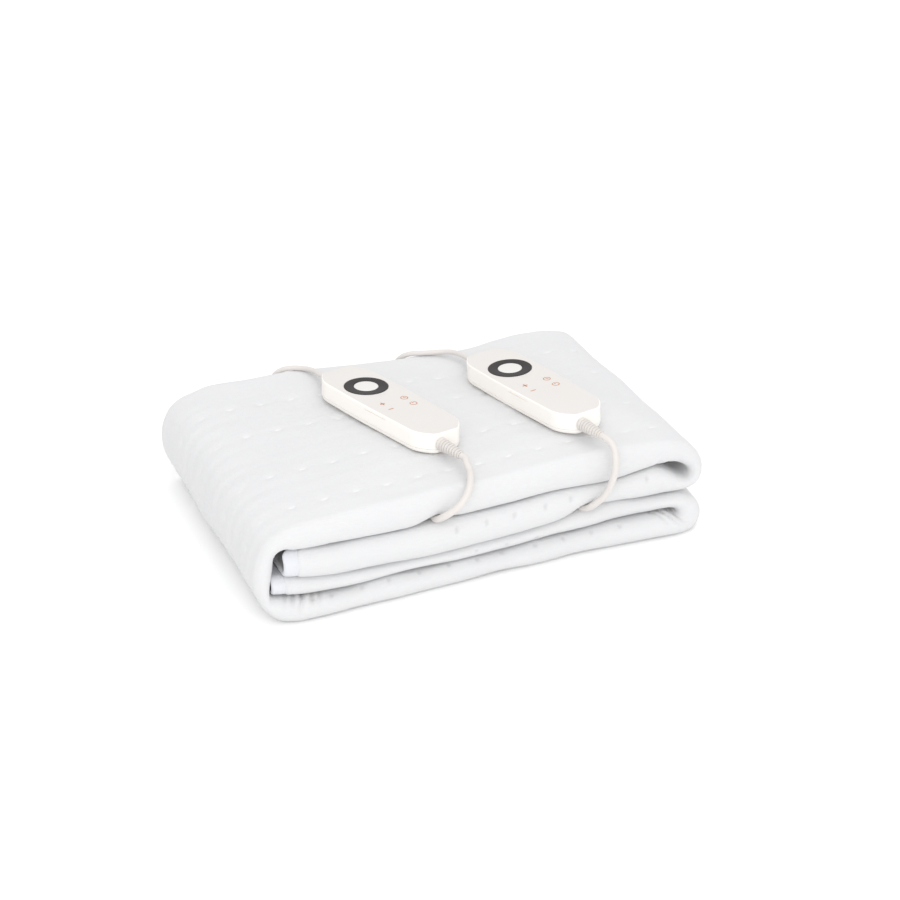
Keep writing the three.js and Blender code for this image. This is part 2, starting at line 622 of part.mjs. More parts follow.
function pin(side) {
  const { radius, length, nose, noseRadius, pitch } = PIN;
  const profile = [[0, 0], [radius, 0], [radius, length - nose], [noseRadius, length], [0, length]];
  return latheUp(profile, 12).rotateY(Math.PI / 2)
    .translate(PLUG.length + PIECE_GAP, (side * pitch) / 2, PLUG.thickness / 2);
}

function plugRelief() {
  const { length, root, tip } = PLUG_RELIEF;
  const profile = [[0, -length], [tip, -length], [root, -PIECE_GAP], [0, -PIECE_GAP]];
  return latheUp(profile, 12).rotateY(Math.PI / 2).translate(0, 0, PLUG.thickness / 2);
}

function mainsEnd(side) {
  const group = new THREE.Group();
  const plug = new THREE.Group();
  plug.add(
    namedMesh(`plug_${side}_body`, plugBody(), 'cord'),
    namedMesh(`plug_${side}_relief`, plugRelief(), 'cord'),
    namedMesh(`plug_${side}_pin_1`, pin(-1), 'brass'),
    namedMesh(`plug_${side}_pin_2`, pin(1), 'brass'),
  );
  plug.position.set(PLUG_OFFSET.x, PLUG_OFFSET.y, 0);
  group.add(
    namedMesh(`mains_lead_${side}_coil`, coilGeometry(), 'cord'),
    namedMesh(`coil_tie_${side}`, tieGeometry(), 'tie'),
    namedMesh(`mains_lead_${side}_tail`, tube(TAIL_OFFSETS, MAINS_LEAD, 4), 'cord'),
    plug,
  );
  group.position.set(COIL_CENTRES[side].x, COIL_CENTRES[side].y, 0);
  return group;
}

const pad = new THREE.Group();
pad.name = 'heated_mattress_pad';
pad.add(namedMesh('pad_cloth', padGeometry(), 'fleece'));
for (const side of ['left', 'right']) {
  pad.add(
    controller(side),
    namedMesh(`pad_lead_${side}`, tube(PAD_LEAD_ROUTES[side], PAD_LEAD, 14), 'cord'),
    namedMesh(`mains_lead_${side}`, tube(MAINS_LEAD_ROUTES[side], MAINS_LEAD, 20), 'cord'),
    mainsEnd(side),
  );
}
pad.position.set(-CENTRE.x, -CENTRE.y, 0);

const object = new THREE.Group();
object.add(pad);
export default object;
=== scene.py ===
import math

import bpy
import numpy as np
from mathutils import Matrix, Vector


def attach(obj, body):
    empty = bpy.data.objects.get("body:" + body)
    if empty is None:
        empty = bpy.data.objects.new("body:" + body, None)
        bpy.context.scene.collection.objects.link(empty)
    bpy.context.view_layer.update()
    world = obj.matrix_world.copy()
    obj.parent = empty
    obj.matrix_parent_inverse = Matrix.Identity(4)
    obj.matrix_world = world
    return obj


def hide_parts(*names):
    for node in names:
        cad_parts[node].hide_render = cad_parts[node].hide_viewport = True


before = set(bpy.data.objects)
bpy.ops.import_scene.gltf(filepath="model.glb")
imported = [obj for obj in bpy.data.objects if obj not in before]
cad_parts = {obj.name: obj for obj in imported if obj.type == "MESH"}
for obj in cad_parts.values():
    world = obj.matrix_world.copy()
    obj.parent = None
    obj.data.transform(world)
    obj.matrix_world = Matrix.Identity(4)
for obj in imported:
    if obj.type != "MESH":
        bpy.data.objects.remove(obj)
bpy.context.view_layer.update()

# Camera: it looks down at the pad from the front and a little from the left, as in the photograph.
CAMERA_PLACE = (-0.604426, -1.427764, 0.978582)
CAMERA_RIGHT = (0.916530, -0.399966, 0.0)
CAMERA_UP = (0.205184, 0.470184, 0.858386)
CAMERA_BACK = (-0.343325, -0.786737, 0.513004)


def new_object(name, data):
    """An object in the scene that shows the data."""
    thing = bpy.data.objects.new(name, data)
    bpy.context.scene.collection.objects.link(thing)
    return thing


camera = new_object("camera", bpy.data.cameras.new("camera"))
camera.data.sensor_width = 36
camera.data.lens = 86.608
camera.data.clip_end = 20
axes = np.column_stack([CAMERA_RIGHT, CAMERA_UP, CAMERA_BACK, CAMERA_PLACE])
camera.matrix_world = Matrix(np.vstack([axes, (0, 0, 0, 1)]).tolist())
bpy.context.scene.camera = camera


# Pad leads: the thick ivory leads that run from the near end of each controller, round in a loop in front of the
# pad and in between two of its bands, where they are sewn to the heating wires. Extruded soft PVC.
FRAME_CENTRE = (179.3, 84.9, 0)
PAD_LEAD_DIAMETER = 5.6
PAD_LEAD_ROUTES = {
    "left": [
        (166.43, -9.14, 101.61), (167.97, -13.02, 101.29), (166.94, -18.4, 100.19), (166.5, -25.2, 97.2),
        (163.7, -33.5, 95.2), (159.6, -40.8, 91.8), (154.4, -44.9, 86.2), (147.8, -46.4, 80.2),
        (141.6, -45, 75.2), (137.1, -41.7, 70.8), (134.9, -37, 66.8), (134.5, -31, 63.8), (135, -24, 62.9),
        (135.4, -18, 62.9),
    ],
    "right": [
        (279.01, -30.21, 104.98), (280.27, -34.19, 104.8), (282.55, -39.2, 103.17), (284, -44, 98.4),
        (283.6, -47.4, 92.2), (282.9, -49.2, 85.5), (281.9, -49.6, 77.8), (279.7, -49.2, 69.9),
        (277.2, -47.8, 62), (273.4, -45.2, 55), (269.6, -42.2, 49.6), (266.4, -38.6, 45),
        (264.7, -33.6, 42), (264.2, -28, 40.4), (264.2, -21, 40.6), (264.2, -14, 41),
    ],
}


def placed(points):
    """Millimetres from the first weld spot of the pad's front row, as metres in the frame of the CAD model."""
    return (np.asarray(points, float) - FRAME_CENTRE) * 0.001


def through(rows, knots, at):
    """Smooth curve or surface through rows of points that stand at the knots, read off at the values `at`.
    Between two rows it is a cubic, whose slope at a row is weighted from the chords on both sides of that row."""
    rows, knots, at = np.asarray(rows, float), np.asarray(knots, float), np.asarray(at, float)
    p = np.concatenate([2 * rows[:1] - rows[1:2], rows, 2 * rows[-1:] - rows[-2:-1]])
    k = np.concatenate([[2 * knots[0] - knots[1]], knots, [2 * knots[-1] - knots[-2]]])
    i = np.clip(np.searchsorted(knots, at, side="right") - 1, 0, len(knots) - 2)
    column = (-1,) + (1,) * (rows.ndim - 1)
    k0, k1, k2, k3 = (k[i + n].reshape(column) for n in range(4))
    p0, p1, p2, p3 = (p[i + n] for n in range(4))
    span = k2 - k1
    slope1 = (p1 - p0) / (k1 - k0) - (p2 - p0) / (k2 - k0) + (p2 - p1) / span
    slope2 = (p2 - p1) / span - (p3 - p1) / (k3 - k1) + (p3 - p2) / (k3 - k2)
    t = (at.reshape(column) - k1) / span
    ease = (3 - 2 * t) * t * t
    return p1 * (1 - ease) + p2 * ease + span * t * (1 - t) * (slope1 * (1 - t) - slope2 * t)


def along_route(route, step):
    """Points an even step apart along the smooth curve through a route; the knots go by the root of the chords."""
    route = np.asarray(route, float)
    knots = np.concatenate([[0], np.cumsum(np.sqrt(np.linalg.norm(np.diff(route, axis=0), axis=1)))])
    fine = through(route, knots, np.linspace(0, knots[-1], 40 * len(route)))
    reach = np.concatenate([[0], np.cumsum(np.linalg.norm(np.diff(fine, axis=0), axis=1))])
    even = np.linspace(0, reach[-1], max(int(reach[-1] / step), 4) + 1)
    return np.column_stack([np.interp(even, reach, fine[:, axis]) for axis in range(3)])


def tube(path, radius, sides):
    """Rings of points round a path, square to it. Each ring's first direction is the last one's, turned as little
    as it can be, so that the tube doesn't twist."""
    ahead = np.gradient(path, axis=0)
    ahead /= np.linalg.norm(ahead, axis=1, keepdims=True)
    first = np.cross(ahead[0], (0, 0, 1) if abs(ahead[0][2]) < 0.9 else (1, 0, 0))
    directions = []
    for direction in ahead:
        first = first - direction * (first @ direction)
        first = first / np.linalg.norm(first)
        directions.append(first)
    u = np.array(directions)[:, None, :]
    v = np.cross(ahead, np.array(directions))[:, None, :]
    turn = np.linspace(0, 2 * np.pi, sides, endpoint=False)[None, :, None]
    return path[:, None, :] + radius * (u * np.cos(turn) + v * np.sin(turn))


def grid_of(rows, columns, start=0):
    """Numbers of points that stand in rows, counted from a start."""
    return start + np.arange(rows * columns).reshape(rows, columns)


def quads(grid):
    """Faces between the neighbouring rows and columns of a grid of point numbers."""
    return np.stack([grid[:-1, :-1], grid[:-1, 1:], grid[1:, 1:], grid[1:, :-1]], axis=-1).reshape(-1, 4).tolist()


def skin(rings):
    """Points and faces of the skin over a stack of rings, closed at each end by a fan about that ring's centre."""
    count, sides = rings.shape[:2]
    grid = np.pad(grid_of(count, sides), [(0, 0), (0, 1)], "wrap")
    first, last = grid[0], grid[-1]
    low = np.column_stack([np.full(sides, count * sides), first[1:], first[:-1]])
    high = np.column_stack([np.full(sides, count * sides + 1), last[:-1], last[1:]])
    points = np.concatenate([rings.reshape(-1, 3), [rings[0].mean(0), rings[-1].mean(0)]])
    return points, quads(grid) + low.tolist() + high.tolist()


def joined(parts):
    """Several skins as one: the points in a row, and the faces counted on."""
    points, faces, start = [], [], 0
    for some_points, some_faces in parts:
        points.append(some_points)
        faces += [[corner + start for corner in face] for face in some_faces]
        start += len(some_points)
    return np.concatenate(points), faces


def new_piece(name, skin_of, material, stands_for=(), crease_deg=35):
    """A piece of the object. Its faces are turned outwards if the volume that they enclose comes out negative: the
    sum, over the faces cut into triangles, of a sixth of the triple product of their corners."""
    points, faces = skin_of
    corners = [(f[0], f[n], f[n + 1]) for f in faces for n in range(1, len(f) - 1)]
    a, b, c = (points[[corner[n] for corner in corners]] for n in range(3))
    if (a * np.cross(b, c)).sum() < 0:
        faces = [face[::-1] for face in faces]
    mesh = bpy.data.meshes.new(name)
    mesh.from_pydata(points.tolist(), [], faces)
    mesh.shade_smooth()
    mesh.set_sharp_from_angle(angle=math.radians(crease_deg))
    mesh.materials.append(material)
    piece = new_object(name, mesh)
    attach(piece, "root")
    if stands_for:
        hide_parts(*stands_for)
    return piece


def fill(tree, node, sockets):
    """Links each named socket of a node, or gives it a number or a colour."""
    for name, value in sockets.items():
        if isinstance(value, bpy.types.NodeSocket):
            tree.links.new(value, node.inputs[name])
        else:
            node.inputs[name].default_value = value


def add_node(tree, kind, sockets=None, **settings):
    """A shader node with its settings, and then its sockets."""
    node = tree.nodes.new("ShaderNode" + kind)
    for name, value in settings.items():
        setattr(node, name, value)
    fill(tree, node, sockets or {})
    return node


def fresh_material(name):
    """A new material, its node tree and its shader."""
    material = bpy.data.materials.new(name)
    material.use_nodes = True
    return material, material.node_tree, material.node_tree.nodes["Principled BSDF"]


def moulded_plastic_group():
    """What every moulded or extruded plastic piece has: a fine grain, softer and glossier patches, and a faint
    yellowing that comes and goes over a few centimetres."""
    group = bpy.data.node_groups.new("moulded_plastic", "ShaderNodeTree")
    for way, kind, name, start in [
        ("INPUT", "Color", "Plastic", (0.8, 0.8, 0.8, 1)), ("INPUT", "Color", "Aged", (0.8, 0.7, 0.6, 1)),
        ("INPUT", "Float", "Gloss", 0.4), ("INPUT", "Float", "Grain Size", 900),
        ("OUTPUT", "Color", "Colour", None), ("OUTPUT", "Float", "Roughness", None), ("OUTPUT", "Float", "Grain", None),
    ]:
        socket = group.interface.new_socket(name=name, in_out=way, socket_type="NodeSocket" + kind)
        if start is not None:
            socket.default_value = start
    given = group.nodes.new("NodeGroupInput").outputs
    here = add_node(group, "TexCoord").outputs["Object"]
    patches = add_node(group, "TexNoise", {"Vector": here, "Scale": 35, "Detail": 3}).outputs["Fac"]
    grain = add_node(group, "TexNoise", {"Vector": here, "Scale": given["Grain Size"], "Detail": 4}).outputs["Fac"]
    amount = add_node(group, "MapRange", {"Value": patches, "From Min": 0.35, "From Max": 0.7, "To Max": 0.35})
    colours = {"Factor": amount.outputs["Result"], "A": given["Plastic"], "B": given["Aged"]}
    blend = add_node(group, "Mix", colours, data_type="RGBA")
    wander = add_node(group, "Math", {0: patches, 1: 0.14, 2: given["Gloss"]}, operation="MULTIPLY_ADD")
    results = {"Colour": blend.outputs["Result"], "Roughness": wander.outputs[0], "Grain": grain}
    fill(group, group.nodes.new("NodeGroupOutput"), results)
    return group


MOULDED_PLASTIC = moulded_plastic_group()


def plastic(name, colour, aged, gloss, grain_size=900, grain_depth=0.06, face=None):
    """A plastic of one colour with the moulded surface above, multiplied by another where the face attribute is 1. On
    the controllers' top face that tint is partly the face's own greyer tone and partly painted shade, which keeps the
    top, lit more than the sides, no brighter than them.
    """
    material, tree, shader = fresh_material(name)
    sockets = {"Plastic": (*colour, 1), "Aged": (*aged, 1), "Gloss": gloss, "Grain Size": grain_size}
    surface = add_node(tree, "Group", sockets, node_tree=MOULDED_PLASTIC).outputs
    colour_now = surface["Colour"]
    if face:
        mask = add_node(tree, "Attribute", attribute_name="face").outputs["Fac"]
        sockets = {"Factor": mask, "A": colour_now, "B": (*face, 1)}
        colour_now = add_node(tree, "Mix", sockets, data_type="RGBA", blend_type="MULTIPLY").outputs["Result"]
    bump = add_node(tree, "Bump", {"Height": surface["Grain"], "Strength": grain_depth, "Distance": 0.0003})
    fill(tree, shader, {
        "Base Color": colour_now, "Roughness": surface["Roughness"], "Normal": bump.outputs["Normal"],
    })
    return material


cord_pvc = plastic("cord_pvc", (0.69, 0.658, 0.635), (0.67, 0.632, 0.59), 0.38, 1400)

for side, route in PAD_LEAD_ROUTES.items():
    path = placed(along_route(route, 0.8))
    lead = new_piece(
        f"pad_lead_{side}_jacket", skin(tube(path, PAD_LEAD_DIAMETER / 2000, 32)), cord_pvc,
        [f"pad_lead_{side}"],
    )
    length = float(np.linalg.norm(np.diff(path, axis=0), axis=1).sum())


# Mains leads: the thinner leads that leave the far end of each controller, hang down behind the pad and are wound
# into a neat coil on the table, with a strap round it and a moulded two-pin plug beside it.
MAINS_LEAD_DIAMETER = 4.4
MAINS_LEAD_ROUTES = {
    "left": [
        (120.47, 176.89, 88.69), (118.69, 183.95, 88.16), (118, 191.6, 86.8), (115.2, 199.6, 85.4),
        (110.8, 205.4, 84.3), (105.4, 208.8, 84), (99.8, 211.6, 83.2), (94.5, 214.4, 80.8), (90.4, 217, 76.2),
        (88.6, 218.8, 69.4), (88.9, 219.5, 59.5), (91, 219.9, 47.5), (93.6, 219.9, 34), (96, 219.8, 21.5),
        (98.7, 220.6, 11.8), (104.9, 222.9, 5.1), (113.3, 225.9, 2.7),
    ],
    "right": [
        (248.05, 158.47, 86.84), (246.85, 165.64, 86.11), (245.2, 173.4, 85.1), (241.2, 181.6, 83.8),
        (234.2, 187.8, 82.3), (226, 191.8, 81.4), (218, 195.2, 80.9), (211, 198.6, 80.3), (205, 202.2, 77.7),
        (201.1, 205.6, 72.8), (199.9, 208.6, 66.2), (201.9, 211.8, 58.2), (207, 215, 49.4), (213.9, 217.6, 41.2),
        (223.2, 219.2, 33.4), (230.6, 220, 24.6), (237.6, 220.8, 14.6), (244.6, 222.3, 6.6), (254, 225.5, 2.9),
    ],
}
COIL_CENTRES = {"left": (130, 262, 0), "right": (272, 262, 0)}
COIL_START_DEG = -103.05
# Turns counted from the start, with the radius and the height that the cord has there. It is wound inwards on the
# table in three turns, and back outwards over them, up one column of the winding and down the next.
COIL_TURNS = {
    "turn": [0, 0.36, 3.42, 3.8, 4.8, 5.2, 6.2, 6.6, 7.6, 8.0, 8.96, 9.121],
    "radius": [36.75, 32.8, 19.3, 19.3, 19.3, 23.8, 23.8, 28.3, 28.3, 32.8, 33.4, 37.56],
    "height": [2.7, 3.45, 3.45, 8.1, 12.8, 12.8, 8.1, 8.1, 12.8, 12.8, 8.3, 7.6],
}
TAIL_ROUTE = [(24.6, -29, 7.4), (31.6, -26.6, 7.1), (40.2, -26, 7)]
PLUG_BODY_LENGTH = 34


def coil_route(centre):
    """One cord round and round. Radius and height go from row to row of the table in straight lines, and a mean over
    an eighth of a turn, taken twice, rounds the corners between them."""
    turns = np.arange(COIL_TURNS["turn"][0], COIL_TURNS["turn"][-1], 1 / 72)
    span = np.linspace(-0.0625, 0.0625, 9)
    window = turns[:, None, None] + span[None, :, None] + span[None, None, :]
    radius, height = (
        np.interp(window, COIL_TURNS["turn"], COIL_TURNS[name]).mean(axis=(1, 2)) for name in ("radius", "height")
    )
    angle = math.radians(COIL_START_DEG) + 2 * np.pi * turns
    ring = np.column_stack([radius * np.cos(angle), radius * np.sin(angle), height])
    return ring + centre


def squared_circle(sides, power):
    """Across and up round a circle of radius 1 that the power squares off."""
    turn = np.linspace(0, 2 * np.pi, sides, endpoint=False)
    return (np.sign(way) * np.abs(way) ** power for way in (np.cos(turn), np.sin(turn)))


def closed_band(rings):
    """Points and faces of the skin over rings whose last joins the first, as on a strap or a washer."""
    return rings.reshape(-1, 3), quads(np.pad(grid_of(*rings.shape[:2]), (0, 1), "wrap"))


def strap_rings():
    """Strap round the far side of the coil: the same rounded oblong as the winding, drawn twice at different sizes
    to give the strap its thickness, and carried across the strap's width in thin rows with softened edges."""
    out, up = squared_circle(64, 0.42)
    rows = [(-4, 0.35), (-3.8, 0.1), (-3.3, 0), (0, 0), (3.3, 0), (3.8, 0.1), (4, 0.35)]
    rows = [(x, 1 - trim) for x, trim in rows] + rows[::-1]
    return np.array([
        np.column_stack([np.full(64, x), 26 + (9.9 + thick) * out, 8.4 + (np.where(up < 0, 7.3, 7.7) + thick) * up])
        for x, thick in rows
    ])


def plug_body_rings():
    """The moulded plug: it widens from the cord to its shoulders in a smooth S, and has grip ribs across its back.
    Its rings along X are circles squared off and stretched."""
    x = np.linspace(0, PLUG_BODY_LENGTH, 120)
    widen = np.clip(2 * x / PLUG_BODY_LENGTH, 0, 1)
    ribs = 0.45 * np.clip(np.sin(2 * np.pi * (x - 4.5) / 3.2), -0.2, 1) * (x > 4.5) * (x < 20)
    edge = np.minimum(np.clip(x / 1.6, 0, 1), np.clip((PLUG_BODY_LENGTH - x) / 1.4, 0, 1))
    round_over = 1.6 * (1 - np.sqrt(1 - (1 - edge) ** 2))
    half_width = 8 + 9 * widen * widen * (3 - 2 * widen) - round_over - 0.4 * ribs
    half_height = 6.65 - round_over - 0.7 * ribs
    out, up = squared_circle(72, 0.45)
    return np.stack([x[:, None] + 0 * out, half_width[:, None] * out, half_height[:, None] * up], axis=-1)


def turned(profile, sides):
    """Rings of a piece turned about X, from rows of x and radius."""
    turn = np.linspace(0, 2 * np.pi, sides, endpoint=False)
    return np.array([np.column_stack([np.full(sides, x), r * np.cos(turn), r * np.sin(turn)]) for x, r in profile])


PLUG_RELIEF = [(-10, 2.4), (-10, 2.75)] + [
    (x, 2.8 + 1.35 * (x + 9.8) / 9.4 - 0.45 * groove)
    for start in (-9.4, -7.6, -5.8, -4.0)
    for x, groove in ((start, 0), (start + 0.9, 0), (start + 1.05, 1), (start + 1.55, 1), (start + 1.7, 0))
] + [(-2, 4.0), (-0.5, 4.2), (-0.3, 4.1)]
PIN = [
    (34.3, 1.7), (34.3, 2.0), (44.8, 2.0), (45.0, 1.85), (45.2, 1.85), (51.4, 1.85), (52.4, 1.6), (53, 1.1),
    (53.3, 0.5),
]
PIN_SPREAD = 9.5
PLUG_OFFSET = np.array([50, -26, 7])

strap_nylon = plastic("strap_nylon", (0.78, 0.76, 0.73), (0.72, 0.69, 0.65), 0.62, 1900, 0.5)
pin_nickel, tree, shader = fresh_material("pin_nickel")
here = add_node(tree, "TexCoord").outputs["Object"]
scratches = add_node(tree, "TexNoise", {"Vector": here, "Scale": 600}).outputs["Fac"]
tone = add_node(tree, "ValToRGB", {"Fac": scratches})
tone.color_ramp.elements[0].color = (0.52, 0.49, 0.42, 1)
tone.color_ramp.elements[1].color = (0.74, 0.72, 0.66, 1)
worn = add_node(tree, "MapRange", {"Value": scratches, "To Min": 0.2, "To Max": 0.4})
fill(tree, shader, {"Base Color": tone.outputs["Color"], "Roughness": worn.outputs["Result"], "Metallic": 1})

plug_pin = turned(PIN, 32) + PLUG_OFFSET
PLUG_PIECES = [
    ("plug_{}_grip", skin, plug_body_rings() + PLUG_OFFSET, cord_pvc, "cord_jacket", "plug_{}_body"),
    ("plug_{}_collar", skin, turned(PLUG_RELIEF, 48) + PLUG_OFFSET, cord_pvc, "cord_jacket", "plug_{}_relief"),
    ("coil_strap_{}", closed_band, strap_rings(), strap_nylon, "tie_strap", "coil_tie_{}"),
    ("plug_{}_prong_1", skin, plug_pin - (0, PIN_SPREAD, 0), pin_nickel, "pin_metal", "plug_{}_pin_1"),
    ("plug_{}_prong_2", skin, plug_pin + (0, PIN_SPREAD, 0), pin_nickel, "pin_metal", "plug_{}_pin_2"),
]
for side, centre in COIL_CENTRES.items():
    plug_pieces = [
        new_piece(name.format(side), closed(placed(rings + centre)), material, [node.format(side)])
        for name, closed, rings, material, slot, node in PLUG_PIECES
    ]
    route = np.concatenate([
        along_route(MAINS_LEAD_ROUTES[side], 2.0), coil_route(centre), np.add(TAIL_ROUTE, centre),
    ])
    path = placed(along_route(route[::2], 1.6))
    lead = new_piece(
        f"mains_lead_{side}_jacket", skin(tube(path, MAINS_LEAD_DIAMETER / 2000, 16)), cord_pvc,
        [f"mains_lead_{side}", f"mains_lead_{side}_coil", f"mains_lead_{side}_tail"],
    )


# Controllers: two-part ivory housings lying on the pad, with a dark ring round the display, printed keys, and ribbed
# moulded reliefs where the leads go in. Their lengths run from the display, at the far end, to the near end.
CONTROLLERS = {
    "left": dict(centre=(138.8, 123.4, 102.5), turn_deg=13.8, lean=(0.055, 0.089)),
    "right": dict(centre=(261.3, 104, 102.5), turn_deg=9.5, lean=(-0.012, 0.1)),
}
HOUSING_HEIGHT = 18
# Corners of the right half, from the rear to the front: x, y, and how far the rounding reaches along both sides.
HOUSING_CORNERS = [(14, 44.5, 3), (23.8, 31, 9), (24.6, -20, 20), (22.6, -98, 9), (11.5, -111, 4)]
# Rows of the shells' sections: how far the wall is drawn in, its height, and how deep the side slot is there.
BASE_SECTION = [
    (3.2, 0, 0), (1.9, 0.25, 0), (1, 0.8, 0), (0.4, 1.7, 0), (0.1, 2.8, 0), (0, 3.5, 0), (0, 4, 0), (0.1, 4.08, 0),
    (1.4, 4.08, 0),
]
TOP_SECTION = [
    (1.4, 4.32, 0), (0.1, 4.32, 0), (0, 4.4, 0), (0, 9, 0), (0, 14.4, 0), (0, 14.52, 0), (0, 14.56, 1), (0, 15.26, 1),
    (0, 15.3, 0), (0, 16.6, 0), (0.06, 17, 0), (0.25, 17.42, 0), (0.55, 17.74, 0), (0.95, 17.93, 0), (1.4, 18, 0),
    (1.7, 18, 0),
]
FACE_INSET = 1.7
SLOT_FROM, SLOT_TO = -31, -59
SEAT_RADIUS = 18.7
DISPLAY_RING = [(10.4, 17.3), (18.4, 17.3), (18.4, 17.9), (18.25, 18.08), (10.65, 18.1), (10.4, 17.95)]
DISPLAY_WINDOW = [(10.1, 17.3), (10.1, 17.85), (9.9, 18.0), (8, 18.14), (5, 18.26), (2, 18.31), (0.01, 18.32)]
FRONT_RELIEF_PLACE = (-6.4, -111.3, 8.6)
REAR_RELIEF_PLACE = (-4, 44.8, 8)
RELIEF_LENGTH, RELIEF_BEND = 23.3, 0.2
PRINT_HEIGHTS = (18.0, 18.08)
# Edges of the hollow that a controller presses into the cloth.
HOLLOW_SIDE, HOLLOW_REAR, HOLLOW_FRONT = 30.6, 50.5, -117


def controller_frame(side):
    """Point under the display on the controller's base plane, and the directions across, to the rear and up."""
    here = CONTROLLERS[side]
    turn = math.radians(here["turn_deg"])
    up = np.array([*here["lean"], 1.0])
    up /= np.linalg.norm(up)
    rear = np.array([-math.sin(turn), math.cos(turn), 0])
    rear -= up * (rear @ up)
    rear /= np.linalg.norm(rear)
    return np.array(here["centre"]) - HOUSING_HEIGHT * up, np.cross(rear, up), rear, up


def on_controller(side, points):
    """Points given across, to the rear of and above the display's foot, put where the controller lies."""
    foot, across, rear, up = controller_frame(side)
    return placed(foot + points[..., :1] * across + points[..., 1:2] * rear + points[..., 2:3] * up)


def housing_outline(inset):
    """The housing seen from above, its sides moved in by the inset. A corner is where two neighbouring sides meet,
    and a parabola rounds it. Points are about 1.3 mm apart, and as many for every inset."""
    right_half = np.array(HOUSING_CORNERS, float)
    x, y, reach = np.concatenate([right_half, right_half[::-1] * (-1, 1, 1)]).T
    corner = np.column_stack([x, y])
    ahead = np.roll(corner, -1, axis=0) - corner
    straight = np.linalg.norm(ahead, axis=1) - reach - np.roll(reach, -1)
    counts = np.maximum(np.round(straight / 1.3), 2).astype(int)
    ahead /= np.linalg.norm(ahead, axis=1, keepdims=True)
    behind = np.roll(ahead, 1, axis=0)
    inward, inward_before = (np.column_stack([d[:, 1], -d[:, 0]]) for d in (ahead, behind))
    cosine = (inward * inward_before).sum(1, keepdims=True)
    corner = corner + inset * (inward + inward_before) / (1 + cosine)
    half_turn = np.sqrt((1 - cosine) / (1 + cosine))
    shorter = np.maximum(reach[:, None] - inset * half_turn, 0.6)
    start, finish = corner - behind * shorter, corner + ahead * shorter
    outline = []
    for i, size in enumerate(reach):
        t = np.linspace(0, 1, max(9, round(2 * size / 1.3)))[:, None]
        outline.append((1 - t) ** 2 * start[i] + 2 * t * (1 - t) * corner[i] + t * t * finish[i])
        s = np.linspace(0, 1, counts[i] + 1)[1:-1, None]
        outline.append(finish[i] * (1 - s) + start[(i + 1) % len(start)] * s)
    return np.concatenate(outline)


def level_ring(outline, height):
    return np.column_stack([outline, np.full(len(outline), height)])


def shell_rings(section):
    """The section's rows, each an outline at its inset and height. In the slot the left side is 0.7 mm further in."""
    rings = []
    for inset, height, in_slot in section:
        x, y = housing_outline(inset).T
        cut = 0.7 * in_slot * (x < 0) * np.clip(np.minimum(SLOT_FROM - y, y - SLOT_TO) / 0.6, 0, 1)
        rings.append(level_ring(np.column_stack([x + cut, y]), height))
    return rings


def top_shell_rings():
    """The top: the section's rows, then the flat face, which runs from the last of them to the round seat of the
    display in straight lines, and the seat's wall and floor."""
    rings = shell_rings(TOP_SECTION)
    edge = housing_outline(FACE_INSET + 0.05)
    way = edge / np.linalg.norm(edge, axis=1, keepdims=True)
    for share in (0, 0.15, 0.35, 0.55, 0.75, 0.9):
        rings.append(level_ring(edge * (1 - share) + way * (SEAT_RADIUS + 0.3) * share, HOUSING_HEIGHT))
    for more, height in ((0.3, 18), (0.08, 17.93), (0, 17.75), (0, 17), (-9, 17)):
        rings.append(level_ring(way * (SEAT_RADIUS + more), height))
    return np.array(rings)


def display_rings(profile, sides):
    """Rings about the vertical through the display's centre, from rows of radius and height."""
    return turned([row[::-1] for row in profile], sides)[..., [1, 2, 0]]


def front_relief_rings():
    """Relief of the pad lead: a smooth bell, then seven ribs that get thinner towards the tip. It is turned about its
    own line, and that line is bent evenly, down and across, as a circle's arc of a fifth of a radian."""
    profile = [(0, 4.8), (0, 5.3), (0.3, 5.55), (1.7, 5.6), (2.4, 5.5), (2.8, 5.2), (3, 4.5), (3.5, 4.3)]
    for rib in range(7):
        radius, start = 5.45 - 0.25 * rib, 3.9 + 2.64 * rib
        profile += [
            (start - 0.1, radius - 1.2), (start, radius - 0.4), (start + 0.2, radius - 0.05), (start + 0.75, radius),
            (start + 1.3, radius - 0.08), (start + 1.5, radius - 0.4), (start + 1.62, radius - 1.2),
            (start + 2.3, radius - 1.25),
        ]
    profile += [(22.3, 2.95), (22.5, 3.6), (23.1, 3.5), (RELIEF_LENGTH, 3.2)]
    reach, x, z = np.moveaxis(turned(profile, 48), -1, 0)
    angle, bow = reach / RELIEF_LENGTH * RELIEF_BEND, RELIEF_LENGTH / RELIEF_BEND
    y, z = (bow + z) * np.sin(angle), (bow + z) * np.cos(angle) - bow
    half = math.sqrt(0.5)
    x, z = (x + z) * half, (z - x) * half
    return np.stack([-x, -y, z], axis=-1) + FRONT_RELIEF_PLACE


def rear_relief_rings():
    """Relief of the mains lead: a plain tapered sleeve with two rings."""
    profile = [
        (0, 3.8), (0, 4.1), (0.3, 4.3), (2.6, 4.3), (3.1, 3.9), (3.6, 3.85), (3.8, 4.1), (5.4, 3.95), (5.7, 3.6),
        (6.2, 3.55), (6.4, 3.85), (7.9, 3.65), (8.3, 3.4), (11.2, 3.05), (11.8, 2.9), (12, 2.7),
    ]
    return turned(profile, 40)[..., [1, 0, 2]] + REAR_RELIEF_PLACE


def bar(x, y, length, width):
    """Printed bar, a twelfth of a millimetre high, about a point of the top face."""
    corner = np.array([(-1, -1), (1, -1), (1, 1), (-1, 1)]) * (length / 2, width / 2) + (x, y)
    return skin(np.array([level_ring(corner, z) for z in PRINT_HEIGHTS]))


def arc(x, y, radius, width, from_deg=0, to_deg=360):
    """Printed ring or part of one: small oblong sections carried round a point of the top face."""
    low, high = PRINT_HEIGHTS
    out = radius + np.array([-width, width, width, -width]) / 2
    return skin(np.array([
        np.column_stack([x + out * math.cos(a), y + out * math.sin(a), (low, low, high, high)])
        for a in np.radians(np.linspace(from_deg, to_deg, 40))
    ]))


